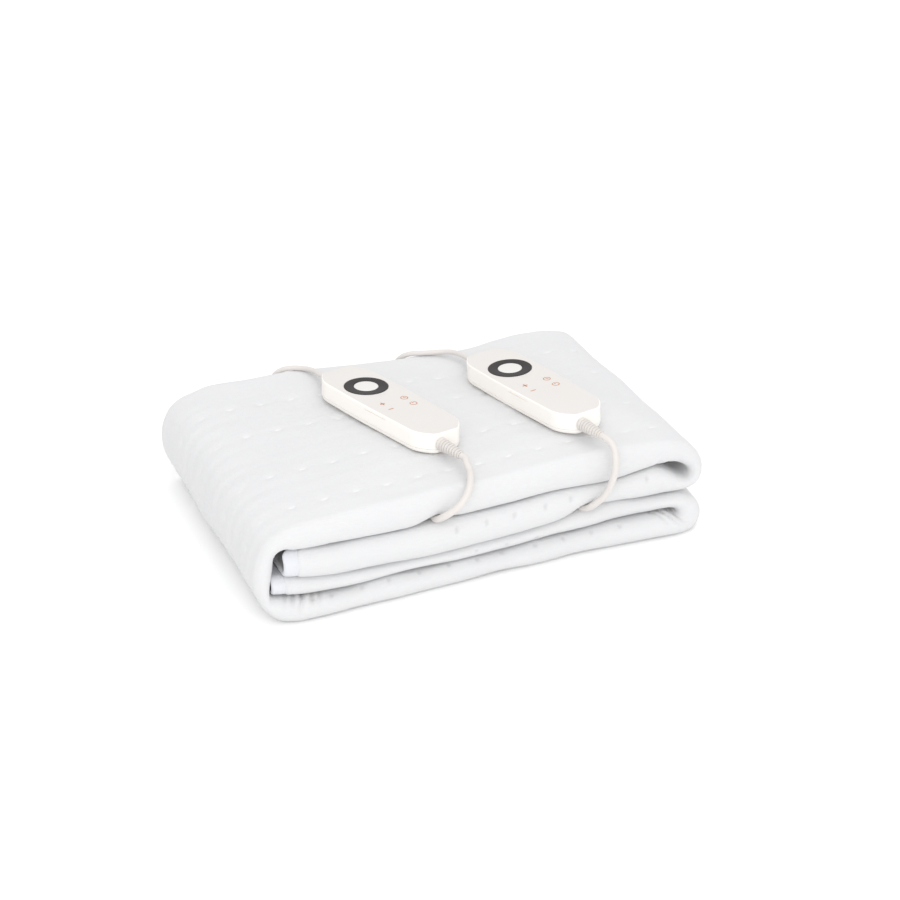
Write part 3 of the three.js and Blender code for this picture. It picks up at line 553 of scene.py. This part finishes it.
def key_marks():
    """Plus, minus, clock and standby signs."""
    return joined([
        bar(-10.7, -37.8, 4.6, 1.1), bar(-10.7, -37.8, 1.1, 5.4), bar(-10.9, -50.0, 4.8, 1.1),
        arc(11.2, -38, 2.9, 0.75), bar(11.2, -37.3, 0.65, 1.9), bar(12.0, -38.1, 1.7, 0.65),
        arc(10.9, -51.2, 2.9, 0.75, 118, 422), bar(10.9, -49.4, 0.8, 3),
    ])


# The last colour darkens the top face. It is partly the face's own greyer tone and partly painted shade that evens the
# top with the less lit sides.
shell_plastic = plastic(
    "shell_plastic", (0.94, 0.91, 0.87), (0.92, 0.875, 0.82), 0.42, 1700, 0.05, (0.77, 0.765, 0.775)
)
ring_plastic = plastic("display_ring", (0.015, 0.011, 0.011), (0.022, 0.017, 0.017), 0.48, 1500, 0.06)
window_plastic = plastic("display_window", (0.75, 0.735, 0.715), (0.72, 0.705, 0.68), 0.55, 2600, 0.02)
mark_ink = plastic("key_ink", (0.54, 0.24, 0.13), (0.48, 0.2, 0.1), 0.5, 2400, 0.1)

top_rings = top_shell_rings()
CONTROLLER_PIECES = [
    ("base", skin(np.array(shell_rings(BASE_SECTION))), shell_plastic, "shell_plastic", "base_shell"),
    ("top", skin(top_rings), shell_plastic, "shell_plastic", "top_shell"),
    ("ring", closed_band(display_rings(DISPLAY_RING, 128)), ring_plastic, "display_ring", "display_ring"),
    ("window", skin(display_rings(DISPLAY_WINDOW, 64)), window_plastic, "display_window", "display_window"),
    ("lead_sleeve", skin(front_relief_rings()), cord_pvc, "cord_jacket", "front_relief"),
    ("mains_sleeve", skin(rear_relief_rings()), cord_pvc, "cord_jacket", "rear_relief"),
    ("key_marks", key_marks(), mark_ink, "display_ring", None),
]
for side in CONTROLLERS:
    for name, (points, faces), material, slot, stands_for in CONTROLLER_PIECES:
        nodes_replaced = [f"controller_{side}_{stands_for}"] if stands_for else []
        here = on_controller(side, points), faces
        piece = new_piece(f"controller_{side}_{name}", here, material, nodes_replaced)
        if name == "top":
            # The face attribute marks the top face for that darker tint, which is partly its own tone and partly
            # painted shade.
            face_tint_and_shade = np.zeros(len(points))
            face_tint_and_shade[(len(TOP_SECTION) - 3) * top_rings.shape[1]:-2] = 1
            piece.data.attributes.new("face", "FLOAT", "POINT").data.foreach_set("value", face_tint_and_shade)


# Pad: thick white fleece with the heating wires sealed in, welded in spots every 26 mm and hemmed at both ends.
# It is folded in half twice across its width, into bands of four layers, and these are folded into four along its
# length: A on top, then B and C, whose ends lie inside the left fold, and D at the bottom.
LAYER_PITCH = 5
HALF_CLOTH = 2.1
BAND_THICKNESS = 19.2
BAND_GAP = 1.2
PAD_DEPTH = 254
# Heights of the outer and of the inner layers above a band's middle, the distances behind the front edge at which
# the outer layer starts and at which the centre of its front fold is, and the spacing of the heating wires.
OUTER, INNER = 1.5 * LAYER_PITCH, 0.5 * LAYER_PITCH
WIDTH_START, FOLD_CENTRE = 253, 9.6
WIRE_PITCH = 17.3
# Distances of the hem's seam and of its stitches from the pad's end, with their widths.
HEM_SEAMS = [(11.6, 0.7), (9.2, 0.6)]
STITCH_PITCH = 3.4
# Heights of the joints between the bands and of the top along the front edge, and the edges of the bands.
LEVELS = {
    "x": [0, 25, 55, 95, 135, 200, 240, 265, 290, 320, 345],
    "cd": [23.6, 19.6, 17.4, 18, 18.4, 17.2, 18, 19, 20.6, 20, 19.4],
    "bc": [42, 37.8, 33.3, 31.3, 30.3, 31.6, 34.2, 37.8, 40, 35.8, 33.5],
    "ab": [65.6, 62.6, 61, 60, 60, 60.8, 62.2, 61.7, 60.4, 62, 63.6],
    "top": [86, 87, 88, 89, 89.5, 90, 91, 91.5, 91, 88, 84],
}
INSIDE = {"cd": 20, "bc": 40, "ab": 62}
EDGES = {
    "x": [0, 30, 100, 150, 200, 240, 265, 290, 320, 375],
    "A": [-33, -36, -37, -37, -37, -37, -37, -36.5, -36, -32],
    "B": [-34, -37, -38, -39, -39, -39, -38, -37.5, -37, -33],
    "C": [-30, -33, -33, -33, -33, -33, -34, -34, -34, -35],
    "D": [-38, -40, -39, -39, -39, -39, -40, -42, -45, -46],
    "back": [214, 216, 211, 206, 200, 196, 194, 197, 199, 197],
    "settle": [4.5, 6.2, 7.7, 9.3, 11.3, 12.8, 12.6, 11.6, 8.6, 7.4],
}
INNER_BACKS = {"B": 210, "C": 213, "D": 209}
POCKETS = {"ab": (135.4, 6.4), "bc": (264.2, 6.6)}
# The folds between the bands: the front edge, then x and height of the line inside the fold and of the one outside.
UPPER_FOLD = [
    (-36.2, 333, 60.8, 337, 35), (-35.5, 343.5, 55, 350, 34.2), (-34.5, 353, 48.6, 361, 35),
    (-33.5, 360.5, 45.6, 369, 38.4), (-32.5, 363.5, 48.5, 374, 46), (-32.5, 362, 53.5, 374.5, 56),
    (-33.5, 357.5, 58, 370.5, 66), (-34.5, 349.5, 62.2, 362, 76), (-35.6, 336, 63.8, 343, 84.5),
]
LEFT_FOLD = [
    (-35.7, 18, 64.4, 16, 85.5), (-35.2, 10.5, 66.2, 3, 81), (-34.4, 5.6, 64.6, -6, 74), (-33.2, 2.8, 60, -11.2, 63.5),
    (-32, 1.1, 51, -14, 50), (-31.4, -1.1, 41, -14, 36), (-31.6, -2.6, 32, -10.8, 22.5), (-33.6, -2.2, 25.4, -5.4, 11),
    (-36.8, 3.5, 22.6, 3.4, 3), (-39.2, 15, 20.6, 15, 0),
]
LOWER_FOLD = [
    (-45.6, 335, 18.6, 340, 0), (-45.4, 344, 16.8, 356, 0), (-44, 349, 14.6, 367, 4), (-41.5, 350.5, 15.8, 372.5, 14),
    (-38.5, 349, 18.6, 369, 24.2), (-36.2, 343, 20.4, 358, 31), (-34.6, 334, 20.8, 340, 33.4),
]
END_B, END_C = 8, -1.3
WELD_PITCH = 26
WELD_ROWS = [204, 153, 81, 31]
ROW_SHIFTS = [-8, -5, 0, 0]
# Welds round the front fold: x, and the degrees round it from the outer layer.
FRONT_WELDS = {
    "B": [(150.3, 122), (176.6, 124), (200.6, 124), (227.5, 124), (250.4, 124), (324.6, 128)],
    "C": [(223.3, 112), (196.2, 95), (169.4, 80)],
    "D": [
        (20, 165), (46, 168), (71.6, 168), (94, 165), (120.6, 168), (146, 170), (170.5, 165), (193, 175), (221.5, 162),
        (246.3, 162), (271.3, 157), (295.7, 153),
    ],
}
# Creases across the front fold: band, x, depth, the degrees at which a crease starts and is deepest, and its slant.
# Where x is outside of the band, it is counted on round the fold.
CREASES = [
    ("D", 8, 1.3, 85, 168, 0.35), ("D", 14, 2.0, 70, 170, 0.35), ("D", 21.5, 2.7, 40, 172, 0.35),
    ("D", 30, 1.6, 90, 172, 0.3), ("D", 36, 1.2, 100, 172, 0.3), ("A", 46, 0.9, 130, 178, 0),
    ("A", 104, 0.7, 135, 178, 0), ("A", 333, 1.6, 70, 178, 0.3), ("A", 347, 2.2, 80, 178, 0.6),
    ("A", 362, 1.8, 85, 178, 0.8), ("D", 336, 1.8, 60, 178, -0.8), ("D", 347, 2.3, 60, 178, -0.9),
    ("D", 362, 2, 80, 178, -0.8),
]


def along(table, name, x):
    """Smooth curve through the rows of a table; its slope at a row is that of the line between the neighbours."""
    xs, ys = np.array(table["x"], float), np.array(table[name], float)
    before, after = np.maximum(np.arange(len(xs)) - 1, 0), np.minimum(np.arange(len(xs)) + 1, len(xs) - 1)
    slope = (ys[after] - ys[before]) / (xs[after] - xs[before])
    at = np.clip(x, xs[0], xs[-1])
    i = np.clip(np.searchsorted(xs, at) - 1, 0, len(xs) - 2)
    step = xs[i + 1] - xs[i]
    t = (at - xs[i]) / step
    rise = (3 - 2 * t) * t * t
    return ys[i] * (1 - rise) + ys[i + 1] * rise + step * t * (1 - t) * (slope[i] * (1 - t) - slope[i + 1] * t)


def smoothstep(value, low, high):
    t = np.clip((value - low) / (high - low), 0, 1)
    return t * t * (3 - 2 * t)


def fade(value, low, high):
    return 1 - smoothstep(value, low, high)


def bell(value, width):
    return np.exp(-((value / width) ** 2))


def settled(x, y):
    """Share of its front height that the stack keeps at y, because it sinks towards the back."""
    return 1 - along(EDGES, "settle", x) * smoothstep(y, 0, 200) / 86


def joint(name, x, y):
    """Height of a joint between two bands: its front height, which eases to the inside height behind the edge."""
    front = along(LEVELS, name, x)
    inside = smoothstep(y, -28, 15) * (smoothstep(x, 30, 80) - smoothstep(x, 280, 320))
    return (front + inside * (INSIDE[name] - front)) * settled(x, y)


def under_controller(side, x, y):
    """Height that the cloth may reach: the controller's base plane, which outside the housing's hollow rises by a
    slope that sets in over 25 mm."""
    foot, across, rear, up = controller_frame(side)
    dx, dy = x - foot[0], y - foot[1]
    plane = foot[2] - (dx * up[0] + dy * up[1]) / up[2]
    u, v = dx * across[0] + dy * across[1], dx * rear[0] + dy * rear[1]
    out = np.hypot(np.maximum(np.abs(u) - HOLLOW_SIDE, 0), np.maximum(np.maximum(v - HOLLOW_REAR, HOLLOW_FRONT - v), 0))
    return plane - 0.9 + 0.32 * out * out / (out + 25)


def top_height(x, y):
    """The front height, sunk towards the back and crowned behind the edge, held down under both controllers; where
    two heights are close, a parabola blends the lower of them in."""
    crown = smoothstep(y, -20, 25) * fade(y, 25, 140)
    z = along(LEVELS, "top", x) * settled(x, y) + 3 * crown * smoothstep(x, 30, 100)
    for side in CONTROLLERS:
        held = under_controller(side, x, y)
        t = np.clip(0.5 + (held - z) / 2, 0, 1)
        z = held * (1 - t) + z * t - t * (1 - t)
    return z


def underside(name, x, y):
    """Height of the band above a joint: half the gap up from it, and more, by a bell curve, over each pad lead."""
    middle, rise = POCKETS.get(name, (0, 0))
    return joint(name, x, y) + (BAND_GAP / 2 + rise * bell(x - middle, 13) * fade(y, -6, 8))


def band_faces(band, x, y):
    """Heights of a band's two faces: the one inside the folds, then the one outside."""
    if band == "A":
        return underside("ab", x, y), top_height(x, y)
    if band == "D":
        return joint("cd", x, y) - BAND_GAP / 2, np.zeros_like(y)
    if band == "B":
        return joint("ab", x, y) - BAND_GAP / 2, underside("bc", x, y)
    return underside("cd", x, y), joint("bc", x, y) - BAND_GAP / 2


def back_edge(band, x):
    return along(EDGES, "back", x) if band == "A" else np.full(np.shape(x), INNER_BACKS[band], float)


def band_points(band, x, q, m):
    """Points of a band at the columns x. The distance q behind the front edge gives y, and the height m above the
    band's middle gives the share of the way from its inner face to its outer one."""
    front, back = along(EDGES, band, x)[:, None], back_edge(band, x)[:, None]
    y = front + q * (back - front) / PAD_DEPTH
    x = np.broadcast_to(x[:, None], y.shape)
    inner, outer = band_faces(band, x, y)
    return np.stack([x, y, inner + (outer - inner) * (0.5 + m / BAND_THICKNESS)], axis=-1)


def fold_points(table, start, finish, x, q, m):
    """The same at the rows of a fold, where the way runs from the fold's inner line to its outer one."""
    front, in_x, in_z, out_x, out_z = (np.array(values, float)[:, None] for values in zip(*table))
    share = np.arange(1, len(table) + 1)[:, None] / (len(table) + 1)
    back = back_edge(start, x) * (1 - share) + back_edge(finish, x) * share
    y = front + q * (back - front) / PAD_DEPTH
    t = 0.5 + m / BAND_THICKNESS
    in_z, out_z = in_z * settled(in_x, y), out_z * settled(out_x, y)
    return np.stack([in_x + (out_x - in_x) * t, y, in_z + (out_z - in_z) * t], axis=-1)


BAND_COLUMNS = {
    "B": np.concatenate([[END_B], np.linspace(15, 320, 36)]), "A": np.linspace(320, 30, 34),
    "D": np.linspace(30, 320, 34), "C": np.linspace(320, END_C, 38),
}

# The way along the pad: each band with its fold, the next band, and the x at which their back edges are read off.
TURNS = [("B", UPPER_FOLD, "A", 375), ("A", LEFT_FOLD, "D", 0), ("D", LOWER_FOLD, "C", 375)]


def cloth_points(q, m):
    """Points of the lines (q, m) at every station along the pad."""
    parts = []
    for band, fold, following, x in TURNS:
        parts += [band_points(band, BAND_COLUMNS[band], q, m), fold_points(fold, band, following, x, q, m)]
    return np.concatenate([*parts, band_points("C", BAND_COLUMNS["C"], q, m)])


def width_lines():
    """The pad's width inside a band, as rows (q, m, and the way out of the cloth): the outer layer to the front, round
    it and back, then the inner pair of layers. Second result: which rows the plainer inner face keeps."""
    rows, kept = [], []

    def run(qs, m, out, keep_every):
        for i, q in enumerate(qs):
            rows.append((q, m, 0, out))
            kept.append(i % keep_every == 0)

    def turn(centre, start, finish, way, side, steps, keep_every=1):
        radius = abs(start - finish) / 2
        for i, step in enumerate(steps):
            a = math.pi * step
            nq, nm = -way * math.sin(a), np.sign(start - finish) * math.cos(a)
            rows.append((centre + radius * nq, (start + finish) / 2 + radius * nm, nq * side, nm * side))
            kept.append(i % keep_every == 0)

    spot = np.array([3.6, 1.8, 0, -1.8, -3.6])
    outer = [WIDTH_START, 252.6, 251.6, 249.5, 244, 238, 231, 224, 217.5, 212]
    for i, row in enumerate(WELD_ROWS):
        following = WELD_ROWS[i + 1] + 3.6 if i < 3 else FOLD_CENTRE
        outer += (row + spot).tolist()
        count = round((row - 3.6 - following) / 5)
        outer += np.linspace(row - 3.6, following, count + 1)[1:-1].tolist()
    run(outer, OUTER, 1, 3)
    turn(FOLD_CENTRE, OUTER, -OUTER, 1, 1, np.linspace(0, 1, 18)[:-1], 2)
    run([FOLD_CENTRE, 13.5, 18, 24, 34, 52, 80, 120, 160, 200, 228, 242], -OUTER, -1, 1)
    turn(249.4, -OUTER, -INNER, -1, 1, [0, 0.16, 0.33, 0.5, 0.67, 0.84])
    run([249.4, 200, 140, 80, 30], -INNER, 1, 1)
    turn(10.6, -INNER, INNER, 1, -1, [0, 0.25, 0.5, 0.75])
    run([10.6, 40, 90, 150, 210, 243, 248.9, 250.2, 250.75, 251], INNER, -1, 1)
    kept[0] = kept[-1] = True
    return np.array(rows), np.flatnonzero(kept)


LINES, INNER_LINES = width_lines()
q, m, out_q, out_m = LINES.T
coarse = [cloth_points(q + way * HALF_CLOTH * out_q, m + way * HALF_CLOTH * out_m) for way in (1, -1)]

# Distances over the cloth: u along it, over the outer layer, and v across it, along the lines.
trace = coarse[0][:, np.searchsorted(-q[:50], -110)]
u_coarse = np.concatenate([[0], np.cumsum(np.linalg.norm(np.diff(trace, axis=0), axis=1))])
v_lines = np.concatenate([[0], np.cumsum(np.hypot(np.diff(q), np.diff(m)))])
starts = np.cumsum([0] + [len(BAND_COLUMNS[band]) + len(fold) for band, fold, *_ in TURNS])
band_start = dict(zip("BADC", starts))


def u_at(band, x):
    """Distance along the cloth at which a band is at x."""
    start, columns = band_start[band], BAND_COLUMNS[band]
    order = np.argsort(columns)
    return np.interp(x, columns[order], u_coarse[start:start + len(columns)][order])


def u_beyond(band, x):
    """The same for a place outside of the band, counted on from its nearer end."""
    columns = BAND_COLUMNS[band]
    inside = min(max(x, columns.min()), columns.max())
    return u_at(band, inside) + (x - inside) * np.sign(columns[-1] - columns[0])


def v_round_fold(degrees):
    """Distance across the cloth at so many degrees round the front fold."""
    return WIDTH_START - FOLD_CENTRE + OUTER * np.radians(degrees)


def weld_column(first, last, from_band, to_band):
    """Places of the welds of a row, from the one at x in a band to the one at x in another, evenly spread."""
    a, b = u_at(from_band, first), u_at(to_band, last)
    return np.linspace(a, b, round((b - a) / WELD_PITCH) + 1)


length = u_coarse[-1]
top_welds = np.concatenate([
    weld_column(20, 312, "B", "A")[:-1], weld_column(312, 52, "A", "A")[:-1], weld_column(52, 290, "A", "D"),
])
front_spots = [(u_at(band, x), v_round_fold(degrees)) for band in FRONT_WELDS for x, degrees in FRONT_WELDS[band]]
creases = [(u_beyond(band, x), *rest) for band, x, *rest in CREASES]

# Stations along the pad: wide steps, finer ones over the top and the left fold and where creases slant, those at each
# spot and crease of the front, and the rows of the hems, from which the others keep clear.
fine_from, fine_to = u_at("A", 300), u_at("D", 30)
steps = [
    np.arange(3, fine_from, 5.8), np.arange(fine_from, fine_to, 2.4), np.arange(fine_to, length - 3, 5.8),
    np.arange(fine_to - 35, fine_to + 15, 2), u_at("D", 320) + np.arange(0, 70, 2.2),
]
steps += [np.array([spot[0] for spot in front_spots + creases]) + shift for shift in (-2.6, -1.2, 0, 1.2, 2.6)]
steps = np.sort(np.concatenate(steps))
steps = steps[np.diff(steps, prepend=0) > 0.7]
hems = np.array([0, 0.25, 0.9, 2.1, 4.5, 7, 8.6, 9.2, 9.8, 10.4, 11, 11.6, 12.2, 12.8])
hems = np.concatenate([hems, length - hems])
steps = steps[np.min(np.abs(steps[:, None] - hems), axis=1) > 1]
stations = np.sort(np.concatenate([hems, steps]))

outer_face, inner_face = (
    through(face.reshape(len(u_coarse), -1), u_coarse, stations).reshape(-1, len(LINES), 3) for face in coarse
)
middle, half = (outer_face + inner_face) / 2, (outer_face - inner_face) / 2


def rim(distance):
    """Share of the half thickness near an edge, which a quarter circle rounds, with a small flat left at its end."""
    t = np.clip(distance / HALF_CLOTH, 0, 1)
    return np.maximum(np.sqrt(1 - (1 - t) ** 2), 0.12)


ends = rim(np.minimum(stations, length - stations))[:, None]
sides = rim(np.minimum(v_lines, v_lines[-1] - v_lines))[None, :]
u, v = stations[:, None], v_lines[None, :]

row_v = np.array([v_lines[np.argmin(np.abs(q[:60] - row))] for row in WELD_ROWS])
# Each weld's place along the cloth and across it, and whether it is on the outer layer. The rows there are a little
# askew to the left. Those round the front fold wander, and some are lost in the joints.
welds = [(spot + shift, at, True) for at, shift in zip(row_v, ROW_SHIFTS) for spot in top_welds]
welds += [(*spot, False) for spot in front_spots]
weld_whitening_and_shade, relief = np.zeros((2, len(stations), len(LINES)))
on_left = smoothstep(u, u_at("A", 30), u_at("A", 30) + 30) * fade(u, u_at("D", 30) - 20, u_at("D", 30))
on_right = smoothstep(u, u_at("B", 300), u_at("B", 320)) * fade(u, u_at("A", 320), u_at("A", 290))
for spot_u, spot_v, on_top in welds:
    near = slice(*np.searchsorted(stations, (spot_u - 16, spot_u + 16)))
    along_it, over_it = u[near] - spot_u, v - spot_v
    if on_top:
        distance = np.hypot(along_it / 1.7, over_it)
        weld_whitening_and_shade[near] += fade(distance, 0.7, 2.1)
        relief[near] -= 0.75 * fade(distance, 0.6, 4.4)
        relief[near] += 0.2 * (bell(np.abs(over_it) - 5, 2.2) - bell(over_it, 1.6)) * bell(along_it, 9)
    else:
        distance = np.hypot(along_it, over_it)
        # Painted shade: round the front fold the mask goes negative. That darkens the dimple's colour as its shade,
        # besides cutting the dimple itself.
        weld_whitening_and_shade[near] -= 0.8 * fade(distance, 0.7, 2.4)
        relief[near] -= 0.8 * fade(distance, 0.4, 3.2)
weld_whitening_and_shade *= 1 - 0.6 * on_left
relief *= 1 - 0.5 * on_left
from_row = np.min(np.abs(v_lines[:, None] - row_v), axis=1)[None, :]
wires = np.cos(2 * np.pi * (v - row_v[0]) / WIRE_PITCH) * fade(v, 236, 250)
relief = relief - (0.22 + 0.4 * on_left - 0.16 * on_right) * wires * smoothstep(from_row, 2, 8)
for spot_u, depth, start_deg, deepest_deg, slant in creases:
    start, deepest = v_round_fold((start_deg, deepest_deg))
    off_centre = u - spot_u - slant * (v - deepest)
    relief = relief - depth * bell(off_centre, 1.6) * smoothstep(v, start, deepest)

waves = np.random.default_rng(11)
for size, height in ((95, 0.55), (60, 0.4), (38, 0.16), (24, 0.07)):
    for _ in range(3):
        a, phase = waves.uniform(0, 2 * math.pi, 2)
        relief = relief + height / 2 * np.sin(2 * math.pi * (u * math.cos(a) + v * math.sin(a)) / size + phase)

# The hems are smooth as far as their seam, which draws the cloth in. A row of stitches runs beside it.
from_end = np.minimum(u, length - u)
hem_mask = fade(from_end, 11, 12)
stitches = 0.5 + 0.5 * np.sin(2 * np.pi * v / STITCH_PITCH)
seam, row = (bell(from_end - at, width) for at, width in HEM_SEAMS)
groove = 0.75 * seam + 0.5 * row * stitches
relief = relief * (1 - hem_mask) - groove
on_outside = fade(v, 275, 290)
relief = relief * on_outside

normal = half / np.linalg.norm(half, axis=2, keepdims=True)
outer_face = middle + half * (ends * sides)[..., None] + normal * (relief * ends * sides)[..., None]
inner_face = (middle - half * (ends * sides)[..., None])[:, INNER_LINES]
outer_face[..., 2] = np.maximum(outer_face[..., 2], 0)
# Where the pad ends, the layers inside stop short of the outer one.
drawn_in = 30 * fade(from_end, 0, 80) * smoothstep(v, 262, 285)
outer_face[..., 0] += drawn_in
inner_face[..., 0] += drawn_in[:, INNER_LINES]

# Faces of the sheet's two sides, of its two long edges, and of its ends, where the inner side keeps fewer lines.
outer = grid_of(len(stations), len(LINES))
inner = grid_of(len(stations), len(INNER_LINES), outer.size)
faces = quads(outer.T) + quads(inner)
faces += quads(np.column_stack([outer[:, 0], inner[:, 0]])) + quads(np.array([outer[:, -1], inner[:, -1]]))
for i, (line, following) in enumerate(zip(INNER_LINES, INNER_LINES[1:] + 1)):
    faces.append([*outer[0, line:following].tolist(), *inner[0, [i + 1, i]].tolist()])
    faces.append([*outer[-1, line:following][::-1].tolist(), *inner[-1, [i, i + 1]].tolist()])

fleece, tree, shader = fresh_material("white_fleece")


def noise(vector, scale, detail, rough=0.5):
    sockets = {"Vector": vector, "Scale": scale, "Detail": detail, "Roughness": rough}
    return add_node(tree, "TexNoise", sockets).outputs["Fac"]


def spread(value, low, high, low_to, high_to):
    sockets = {"Value": value, "From Min": low, "From Max": high, "To Min": low_to, "To Max": high_to}
    return add_node(tree, "MapRange", sockets).outputs["Result"]


def combine(operation, one, other):
    return add_node(tree, "Math", {0: one, 1: other}, operation=operation).outputs[0]


def mixed(factor, one, other):
    """The first colour where the factor is 0 and the second where it is 1, each a node's output or three numbers."""
    one, other = ((*colour, 1) if isinstance(colour, tuple) else colour for colour in (one, other))
    return add_node(tree, "Mix", {"Factor": factor, "A": one, "B": other}, data_type="RGBA").outputs["Result"]


here = add_node(tree, "TexCoord").outputs["Object"]
cloth_map = add_node(tree, "UVMap", uv_map="cloth").outputs["UV"]
weld, hem = (add_node(tree, "Attribute", attribute_name=name).outputs["Fac"] for name in ("weld", "hem"))
along_streaks, along_puckers = (
    add_node(tree, "Mapping", {"Vector": cloth_map, "Scale": scale}).outputs["Vector"]
    for scale in ((160, 1300, 1), (17, 125, 1))
)
streaks = noise(along_streaks, 1, 3, 0.6)
fuzz = noise(here, 1700, 4, 0.65)
tufts = noise(here, 420, 3)
tone = mixed(spread(streaks, 0.3, 0.7, 0, 1), (0.690, 0.692, 0.698), (0.722, 0.723, 0.728))
tone = mixed(spread(noise(here, 28, 3), 0.35, 0.68, 0, 0.6), tone, (0.70, 0.702, 0.713))
tone = mixed(spread(fuzz, 0.25, 0.5, 0.35, 0), tone, (0.64, 0.643, 0.655))
tone = mixed(spread(weld, 0, 1, 0, 0.9), tone, (0.80, 0.80, 0.805))
# Painted shade: where the weld attribute is negative, in the dimples round the front fold, the colour is darkened as
# their shade.
tone = mixed(spread(weld, 0, -1, 0, 0.55), tone, (0.50, 0.50, 0.51))
tone = mixed(hem, tone, (0.70, 0.712, 0.745))
melted = spread(weld, 0, 1, 0, 1)
pile = combine("ADD", combine("MULTIPLY", tufts, 0.7), combine("MULTIPLY", streaks, 0.45))
pile = combine("ADD", combine("MULTIPLY", fuzz, 0.5), pile)
pile = combine("MULTIPLY", pile, combine("SUBTRACT", 1.0, combine("MULTIPLY", melted, 0.8)))
puckers = add_node(tree, "Bump", {"Height": noise(along_puckers, 1, 2), "Strength": 0.22, "Distance": 0.0022})
nap = {"Height": pile, "Strength": 0.5, "Distance": 0.0006, "Normal": puckers.outputs["Normal"]}
fill(tree, shader, {
    "Base Color": tone, "Roughness": combine("SUBTRACT", 0.97, combine("MULTIPLY", melted, 0.3)),
    "Normal": add_node(tree, "Bump", nap).outputs["Normal"], "Sheen Weight": 0.12, "Sheen Roughness": 0.5,
    "Specular IOR Level": 0.25,
})

points = placed(np.concatenate([outer_face.reshape(-1, 3), inner_face.reshape(-1, 3)]))
pad = new_piece("pad_fleece", (points, faces), fleece, ["pad_cloth"], 80)
corner = np.empty(len(pad.data.loops), np.int32)
pad.data.loops.foreach_get("vertex_index", corner)
both = np.stack(np.broadcast_arrays(u, v), axis=-1)
uv = np.concatenate([both.reshape(-1, 2), both[:, INNER_LINES].reshape(-1, 2) + (0, 600)]) * 0.001
pad.data.uv_layers.new(name="cloth").data.foreach_set("uv", uv[corner].ravel())
# The weld attribute holds the whiter tone of the welds on top and, below zero, the painted shade of those round the
# front fold.
for name, mask in (("weld", weld_whitening_and_shade * on_outside), ("hem", hem_mask * on_outside)):
    values = np.concatenate([mask.ravel(), mask[:, INNER_LINES].ravel() * 0])
    pad.data.attributes.new(name, "FLOAT", "POINT").data.foreach_set("value", values)


# Studio: a plain white floor, a white surround, a large soft light above the front and a weaker one overhead.
floor_mesh = bpy.data.meshes.new("floor")
floor_mesh.from_pydata([(-4, -4, 0), (4, -4, 0), (4, 6, 0), (-4, 6, 0)], [], [(0, 1, 2, 3)])
floor = new_object("floor", floor_mesh)
floor_paint, tree, shader = fresh_material("floor_paint")
fill(tree, shader, {"Base Color": (0.98, 0.98, 0.98, 1), "Roughness": 0.9})
floor_mesh.materials.append(floor_paint)

surround = bpy.data.worlds.new("surround")
bpy.context.scene.world = surround
surround.use_nodes = True
fill(surround.node_tree, surround.node_tree.nodes["Background"], {"Color": (1, 1, 1, 1), "Strength": 0.92})

for name, place, power in [("soft_box_front", (-0.7, -2.1, 1.7), 28.5), ("soft_box_top", (0.4, 0.4, 2.4), 11)]:
    light = new_object(name, bpy.data.lights.new(name, "AREA"))
    light.data.shape = "SQUARE"
    light.data.size = 2.4
    light.data.energy = power
    light.location = place
    light.rotation_mode = "QUATERNION"
    light.rotation_quaternion = (-Vector(place)).to_track_quat("-Z", "Y")

bpy.context.scene.view_settings.view_transform = "Standard"
